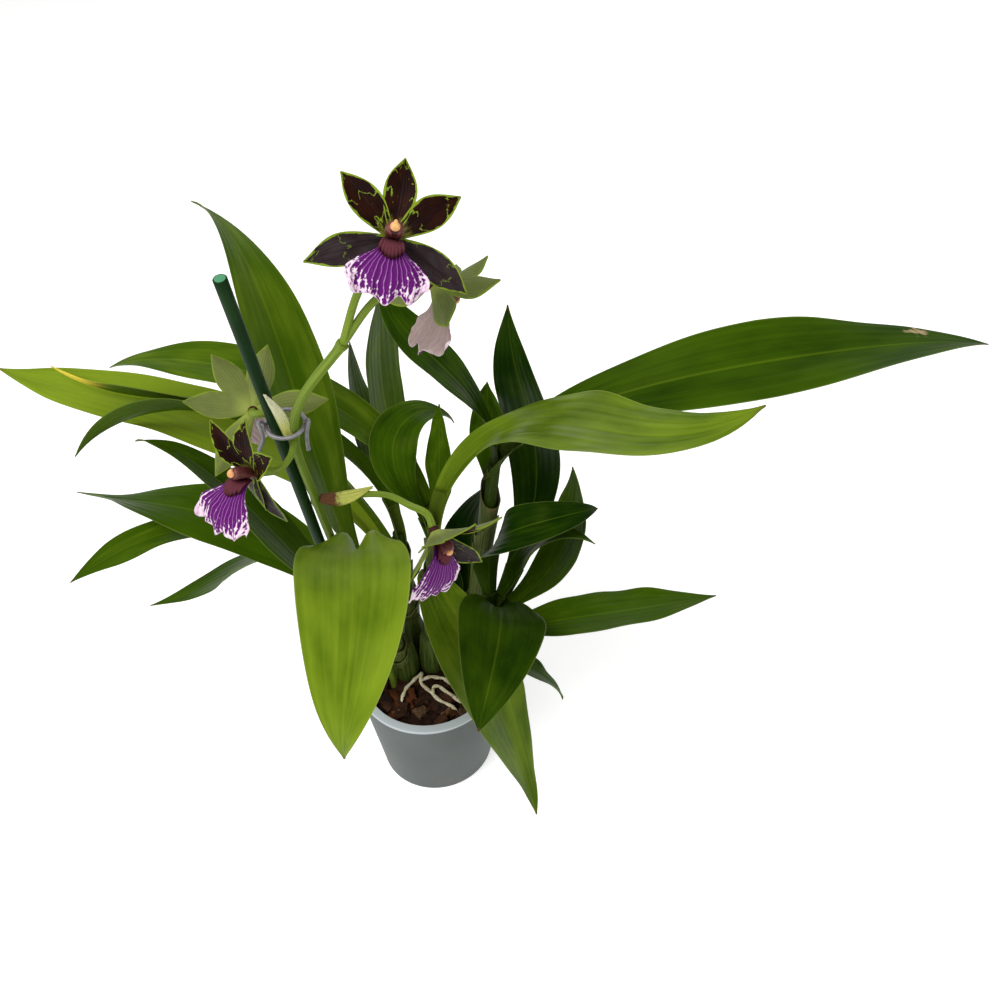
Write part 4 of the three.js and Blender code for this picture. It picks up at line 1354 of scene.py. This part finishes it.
def lip_material(settings):
    look = Look("lip_veins")
    u, s = look.field("place")[:2]
    crest, crown, seed = look.field("tint")
    side = look.number("side")
    shift = seed * 7
    wander = look.noise(look.vector(u * 3, s * 5, shift), 1.0, 2.0)
    stripe = (u * 44 + wander * 7).sine()
    net = look.noise(look.vector(u * 12, s * 13, shift + 2), 1.0, 3.0)
    reach = s * s * 0.85 + u * u * 0.55
    level = (net - 0.5) * 4.6 + 2.2 - reach * 2.25 - stripe.fade(0.3, 1.0) * reach * 0.9
    violet = level.fade(-0.15, 0.35)
    band = (s + (wander - 0.5) * 0.08).fade(0.98, 1.0)
    ground = look.mix(net.fade(0.3, 0.7), tuple(settings.lip_white), (0.60, 0.36, 0.52))
    pale = stripe.fade(0.80, 0.98) * s.fade(0.15, 0.4)
    deep = look.mix(pale * 0.55, tuple(settings.violet), (0.46, 0.22, 0.46))
    face = look.mix(violet * (1 - band), ground, deep)
    face = look.mix(s.fade(0.20, 0.05), face, (0.13, 0.015, 0.04))
    back = look.mix(stripe * 0.15 + net * 0.8, (0.44, 0.34, 0.30), (0.31, 0.22, 0.24))
    back = look.mix(band * 0.6, back, (0.62, 0.55, 0.55))
    sheet = look.mix(side, back, face)
    ridge = look.mix(crown, (0.045, 0.006, 0.010), (0.17, 0.045, 0.060))
    colour = look.mix(crest, sheet, ridge)
    return look.finish(
        base_color=colour,
        roughness=0.52 + net * 0.12,
        normal=look.bump(stripe * 0.5 + net, 0.35, 0.8),
        specular_ior_level=0.06,
    )


class ORCHID_OT_lips(bpy.types.Operator):
    """Makes the broad veined lips with their ridged crests"""

    bl_idname = "orchid.lips"
    bl_label = "Lips"

    def execute(self, context):
        material = lip_material(context.scene.orchid_blooms)
        for k, (name, bloom) in enumerate(BLOOMS.items()):
            shape = Shape()
            size = LIP["length"] * bloom["scale"] * bloom["lip_size"]
            lean = LIP["lean"] + bloom["lip_cup"]
            tip_lean = LIP["tip_lean"] + bloom["lip_cup"]
            rows = LIP_GRID["rows"]
            s, points, across, out, along = petal_frames(
                bloom, bloom["lip_turn"], size, lean, tip_lean, LIP_FOOT, rows
            )
            quarter = np.linspace(-math.pi / 2, math.pi / 2, LIP_GRID["columns"])
            u = np.sin(quarter * 0.98) / math.sin(math.pi * 0.49)
            widen = 0.2 + 0.8 * np.sin(math.pi / 2 * np.minimum(s / 0.82, 1)) ** 2
            half = LIP["width"] / 2 * max(bloom["lip_size"], 1) * widen
            rise = np.outer(s**2, np.sin(LIP["waves"] * math.pi * u) * np.abs(u)) * LIP["wave"] * 1.25
            rise += np.outer(s**6, 1.3 * np.sin(4.6 * math.pi * u + k))
            rise += np.outer(np.sin(17 * s + k) * s, 0.9 * np.abs(u) ** 5)
            rise -= np.outer(0.16 * half, u**2)
            back = np.outer(s * half, -0.28 * u**2)
            back += np.outer(s**4, 2.0 * np.cos(3 * math.pi * u + 0.4 * k))
            middle = points[:, None] + across[:, None] * np.outer(half, u)[..., None]
            middle = middle + out[:, None] * rise[..., None] + along[:, None] * back[..., None]
            thin = np.outer(np.ones(rows), 0.85 * (1 - 0.5 * u**6)) * (1 - 0.5 * s**8)[:, None]
            shape.sheet(middle, thin, u, s, half, (0, 0, k * 0.23))
            self.crest(shape, points, across, out, along)
            add_piece(f"{name}_lip_sheet", shape, material, [f"bloom_{name}_lip"])
        return {"FINISHED"}

    def crest(self, shape, points, across, out, along):
        """Adds the fan of ridges that stands across the foot of the lip."""
        low = len(points) // 5
        width = CALLUS["width"]
        length = CALLUS["length"]
        for u in np.linspace(-1, 1, CALLUS["ridges"]):
            foot = points[low] + across[low] * u * width * 0.33 - along[low] * length * 0.45
            head = foot + across[low] * u * width * 0.16 + along[low] * length * (1.0 - 0.35 * u * u)
            crown = (foot + head) / 2 + out[low] * (2.4 - 0.6 * u * u)
            end = head + along[low] - out[low] * 0.4
            path = smooth_path([foot, crown, head + out[low] * 1.5, end], 7)
            share = np.linspace(0, 1, len(path))
            pale = 0.9 * np.sin(math.pi * share) ** 2
            tint = np.stack([np.ones(len(path)), pale, 0 * share], -1)[:, None]
            shape.sweep(path, np.sin(math.pi * (0.12 + 0.8 * share)) ** 0.5, 12, tint=tint)


def column_material(settings):
    look = Look("column_wax")
    s = look.field("place")[1]
    cap, hollow_shade = look.field("tint")[:2]
    cloud = look.noise(look.position(), 420.0, 3.0)
    maroon = look.mix(cloud.fade(0.3, 0.7), tuple(settings.column_colour), (0.13, 0.035, 0.035))
    pale = look.mix(s.fade(0.7, 0.98) * 0.15, maroon, (0.36, 0.16, 0.12))
    # Painted shade: the ball in the hollow under the hood is painted near black.
    colour = look.mix(hollow_shade, pale, (0.035, 0.006, 0.008))
    yellow = look.mix(cloud.fade(0.3, 0.8), tuple(settings.cap_colour), (0.62, 0.20, 0.10))
    colour = look.mix(cap, colour, yellow)
    return look.finish(
        base_color=colour,
        roughness=0.34 + cloud * 0.12,
        normal=look.bump(cloud, 0.15, 0.6),
        specular_ior_level=0.2,
    )


class ORCHID_OT_columns(bpy.types.Operator):
    """Makes the hooded columns with their pollen caps"""

    bl_idname = "orchid.columns"
    bl_label = "Columns"

    def execute(self, context):
        material = column_material(context.scene.orchid_blooms)
        for name, bloom in BLOOMS.items():
            right, up, out = face_of(bloom)
            lean = math.radians(COLUMN["lean"] + COLUMN["lift"] * bloom["lip_cup"])
            along = out * math.cos(lean) + up * math.sin(lean)
            above = up * math.cos(lean) - out * math.sin(lean)
            start = vec(bloom["hub"]) + along * (HUB_RADIUS - 0.6)
            tip = start + along * (COLUMN["length"] + 0.9) + out * 2
            path = smooth_path([start, (start + tip) / 2 + above * 0.7, tip])
            share = np.linspace(0, 1, len(path))
            radii = COLUMN["radius"] * (0.92 + 0.3 * share - 0.28 * share**6)
            shape = Shape()
            shape.sweep(path, radii, 28, 2, 0.07, flat=0.92)
            axes = [right, above, along]
            # A dark ball under the hood: painted shade standing in for the hollow beneath it.
            shape.ball(tip - above * 1.5 - along * 1.6, (2.0, 1.7, 2.6), axes, tint=(0, 1, 0))
            shape.ball(tip + along * 0.9 + above * 0.1, (2.2, 2.1, 1.6), axes, tint=(1, 0, 0))
            shape.ball(tip + along * 1.4 + above * 1.9, (0.9, 1.1, 0.9), axes, tint=(1, 0, 0))
            add_piece(f"{name}_column_and_cap", shape, material, [f"bloom_{name}_column"])
        return {"FINISHED"}


# ---- stage ----


def floor_material(settings):
    look = Look("studio_floor")
    cloud = look.noise(look.position(), 1.2, 2.0)
    pale = tuple(settings.floor_colour)
    colour = look.mix(cloud * 0.03, pale, tuple(0.97 * value for value in pale))
    return look.finish(
        base_color=colour,
        roughness=0.9,
        specular_ior_level=0.1,
        emission_color=(1.0, 1.0, 1.0, 1.0),
        emission_strength=0.4,
    )


class ORCHID_OT_stage(bpy.types.Operator):
    """Makes the floor, the lights and the camera"""

    bl_idname = "orchid.stage"
    bl_label = "Stage"

    def execute(self, context):
        settings = context.scene.orchid_stage
        shape = bmesh.new()
        bmesh.ops.create_grid(shape, x_segments=1, y_segments=1, size=6.0)
        mesh = bpy.data.meshes.new("floor")
        shape.to_mesh(mesh)
        shape.free()
        mesh.materials.append(floor_material(settings))
        floor = bpy.data.objects.new("floor", mesh)
        context.scene.collection.objects.link(floor)
        self.light("key", (-0.9, -1.0, 2.1), 1.4, settings.key_power)
        self.light("fill", (1.6, -1.3, 1.5), 2.0, settings.fill_power)
        self.light("rim", (0.3, 1.9, 1.7), 1.6, settings.fill_power)
        world = bpy.data.worlds.new("studio")
        world.use_nodes = True
        sky = world.node_tree.nodes["Background"]
        sky.inputs["Color"].default_value = (1, 1, 1, 1)
        sky.inputs["Strength"].default_value = settings.sky_strength
        context.scene.world = world
        context.scene.view_settings.view_transform = "Standard"
        self.camera(context.scene)
        return {"FINISHED"}

    def light(self, name, place, size, power):
        """Adds a square soft light that faces the plant."""
        data = bpy.data.lights.new(name, "AREA")
        data.size = size
        data.energy = power
        lamp = bpy.data.objects.new(name, data)
        lamp.location = place
        toward = Vector((0, 0, 0.3)) - Vector(place)
        lamp.rotation_euler = toward.to_track_quat("-Z", "Y").to_euler()
        bpy.context.scene.collection.objects.link(lamp)

    def camera(self, scene):
        """Adds the camera at the standpoint from which the plant is seen."""
        data = bpy.data.cameras.new("camera")
        data.lens = CAMERA["focal"] * data.sensor_width
        data.clip_start = 0.01
        view = bpy.data.objects.new("camera", data)
        tilt = Matrix.Rotation(math.radians(90 + CAMERA["pitch"]), 4, "X")
        roll = Matrix.Rotation(math.radians(CAMERA["roll"]), 4, "Z")
        view.matrix_world = Matrix.Translation(Vector(CAMERA["place"]) * MM) @ tilt @ roll
        scene.collection.objects.link(view)
        scene.camera = view


# ---- what a user can change ----


def colour(name, description, default):
    return FloatVectorProperty(
        name=name, description=description, default=default, subtype="COLOR", size=3, min=0.0, max=1.0
    )


class OrchidFoliage(bpy.types.PropertyGroup):
    leaf_dark: colour("Shaded green", "Colour of the darkest leaf tissue", (0.005, 0.022, 0.001))
    leaf_middle: colour("Leaf green", "Usual colour of the leaves", (0.042, 0.090, 0.002))
    leaf_light: colour("Fresh green", "Colour of young leaves and bright veins", (0.180, 0.262, 0.014))
    leaf_under: colour("Underside", "Dull green of the lower face", (0.062, 0.100, 0.004))
    rows: IntProperty(
        name="Rows",
        description="Cross rows in each leaf blade",
        default=84,
        min=20,
        max=200,
    )


class OrchidPot(bpy.types.PropertyGroup):
    height: FloatProperty(
        name="Height",
        description="Height of the pot",
        default=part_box("pot")[1][2],
        unit="LENGTH",
        min=0.03,
    )
    rim_radius: FloatProperty(
        name="Rim radius",
        description="Outer radius of the rim",
        default=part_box("pot")[1][0],
        unit="LENGTH",
        min=0.03,
    )
    body_colour: colour("Pot", "Colour of the pot's wall", (0.086, 0.097, 0.093))
    # Painted highlight colour of the rim's flat top.
    rim_top_highlight: colour("Rim", "Colour of the flat rim", (0.460, 0.500, 0.520))


class OrchidMix(bpy.types.PropertyGroup):
    bark_dark: colour("Wet bark", "Colour of the dark chips", (0.011, 0.005, 0.003))
    bark_light: colour("Dry bark", "Colour of the pale chips", (0.066, 0.027, 0.012))
    root_colour: colour("Roots", "Colour of the root skin", (0.620, 0.560, 0.380))
    chips: IntProperty(
        name="Chips",
        description="How many loose chips lie on top",
        default=190,
        min=10,
        max=400,
    )
    chip_size: FloatProperty(
        name="Chip size",
        description="Usual length of a chip",
        default=0.012,
        unit="LENGTH",
        min=0.003,
        max=0.03,
    )
    seed: IntProperty(
        name="Seed",
        description="Changes how the chips fall",
        default=7,
        min=0,
    )


class OrchidSupport(bpy.types.PropertyGroup):
    stake_radius: FloatProperty(
        name="Stake radius",
        description="Radius of the stake",
        default=0.0035,
        unit="LENGTH",
        min=0.001,
        max=0.01,
    )
    stake_colour: colour("Stake", "Colour of the stake's coat", (0.004, 0.022, 0.004))
    stake_end: colour("Stake end", "Colour of the cut end", (0.080, 0.260, 0.130))
    clip_colour: colour("Clip", "Colour of the clip", (0.120, 0.115, 0.125))


class OrchidSpike(bpy.types.PropertyGroup):
    stem_colour: colour("Stem", "Colour of the flower stem", (0.100, 0.165, 0.012))
    stem_light: colour("Stalks", "Paler green of the flower stalks", (0.175, 0.245, 0.022))
    bract_colour: colour("Bract", "Colour of a fresh bract", (0.560, 0.560, 0.110))
    bract_dry: colour("Dry bract", "Colour of a withered bract", (0.120, 0.050, 0.020))


class OrchidBlooms(bpy.types.PropertyGroup):
    maroon: colour("Maroon", "Ground colour of sepals and petals", (0.0085, 0.0022, 0.0014))
    edge_green: colour("Green marks", "Colour of the margins and bars", (0.190, 0.270, 0.020))
    back_green: colour("Backs", "Colour behind the sepals", (0.150, 0.182, 0.048))
    violet: colour("Violet", "Colour of the lip's veins", (0.100, 0.007, 0.125))
    lip_white: colour("Lip ground", "Ground colour of the lip", (0.800, 0.690, 0.750))
    column_colour: colour("Column", "Colour of the column", (0.070, 0.011, 0.012))
    cap_colour: colour("Pollen cap", "Colour of the pollen cap", (0.720, 0.430, 0.150))


class OrchidStage(bpy.types.PropertyGroup):
    floor_colour: colour("Floor", "Colour of the studio floor", (0.930, 0.930, 0.920))
    key_power: FloatProperty(
        name="Key light",
        description="Power of the main light",
        default=42.0,
        unit="POWER",
        min=0,
    )
    fill_power: FloatProperty(
        name="Fill light",
        description="Power of each side light",
        default=9.0,
        unit="POWER",
        min=0,
    )
    sky_strength: FloatProperty(
        name="Sky",
        description="Strength of the even light",
        default=0.5,
        min=0,
        max=5,
    )


GROUPS = {
    "orchid_foliage": OrchidFoliage,
    "orchid_pot": OrchidPot,
    "orchid_mix": OrchidMix,
    "orchid_support": OrchidSupport,
    "orchid_spike": OrchidSpike,
    "orchid_blooms": OrchidBlooms,
    "orchid_stage": OrchidStage,
}
STEPS = (
    ORCHID_OT_stage,
    ORCHID_OT_pot,
    ORCHID_OT_bark,
    ORCHID_OT_roots,
    ORCHID_OT_growths,
    ORCHID_OT_leaves,
    ORCHID_OT_stake,
    ORCHID_OT_clip,
    ORCHID_OT_spike,
    ORCHID_OT_bracts,
    ORCHID_OT_petals,
    ORCHID_OT_lips,
    ORCHID_OT_columns,
)


class ORCHID_PT_pieces(bpy.types.Panel):
    """Lists the pieces of the orchid and their settings"""

    bl_label = "Potted orchid"
    bl_idname = "ORCHID_PT_pieces"
    bl_space_type = "VIEW_3D"
    bl_region_type = "UI"
    bl_category = "Orchid"

    def draw(self, context):
        for step in STEPS:
            self.layout.operator(step.bl_idname)
        for label, group in GROUPS.items():
            box = self.layout.box()
            for key in group.__annotations__:
                box.prop(getattr(context.scene, label), key)


def register():
    for kind in (*GROUPS.values(), *STEPS, ORCHID_PT_pieces):
        bpy.utils.register_class(kind)
    for label, group in GROUPS.items():
        setattr(bpy.types.Scene, label, PointerProperty(type=group))


def unregister():
    for label in GROUPS:
        delattr(bpy.types.Scene, label)
    for kind in reversed((*GROUPS.values(), *STEPS, ORCHID_PT_pieces)):
        bpy.utils.unregister_class(kind)


def main():
    register()
    for step in STEPS:
        getattr(bpy.ops.orchid, step.bl_idname.split(".")[1])()


if __name__ == "__main__":
    main()
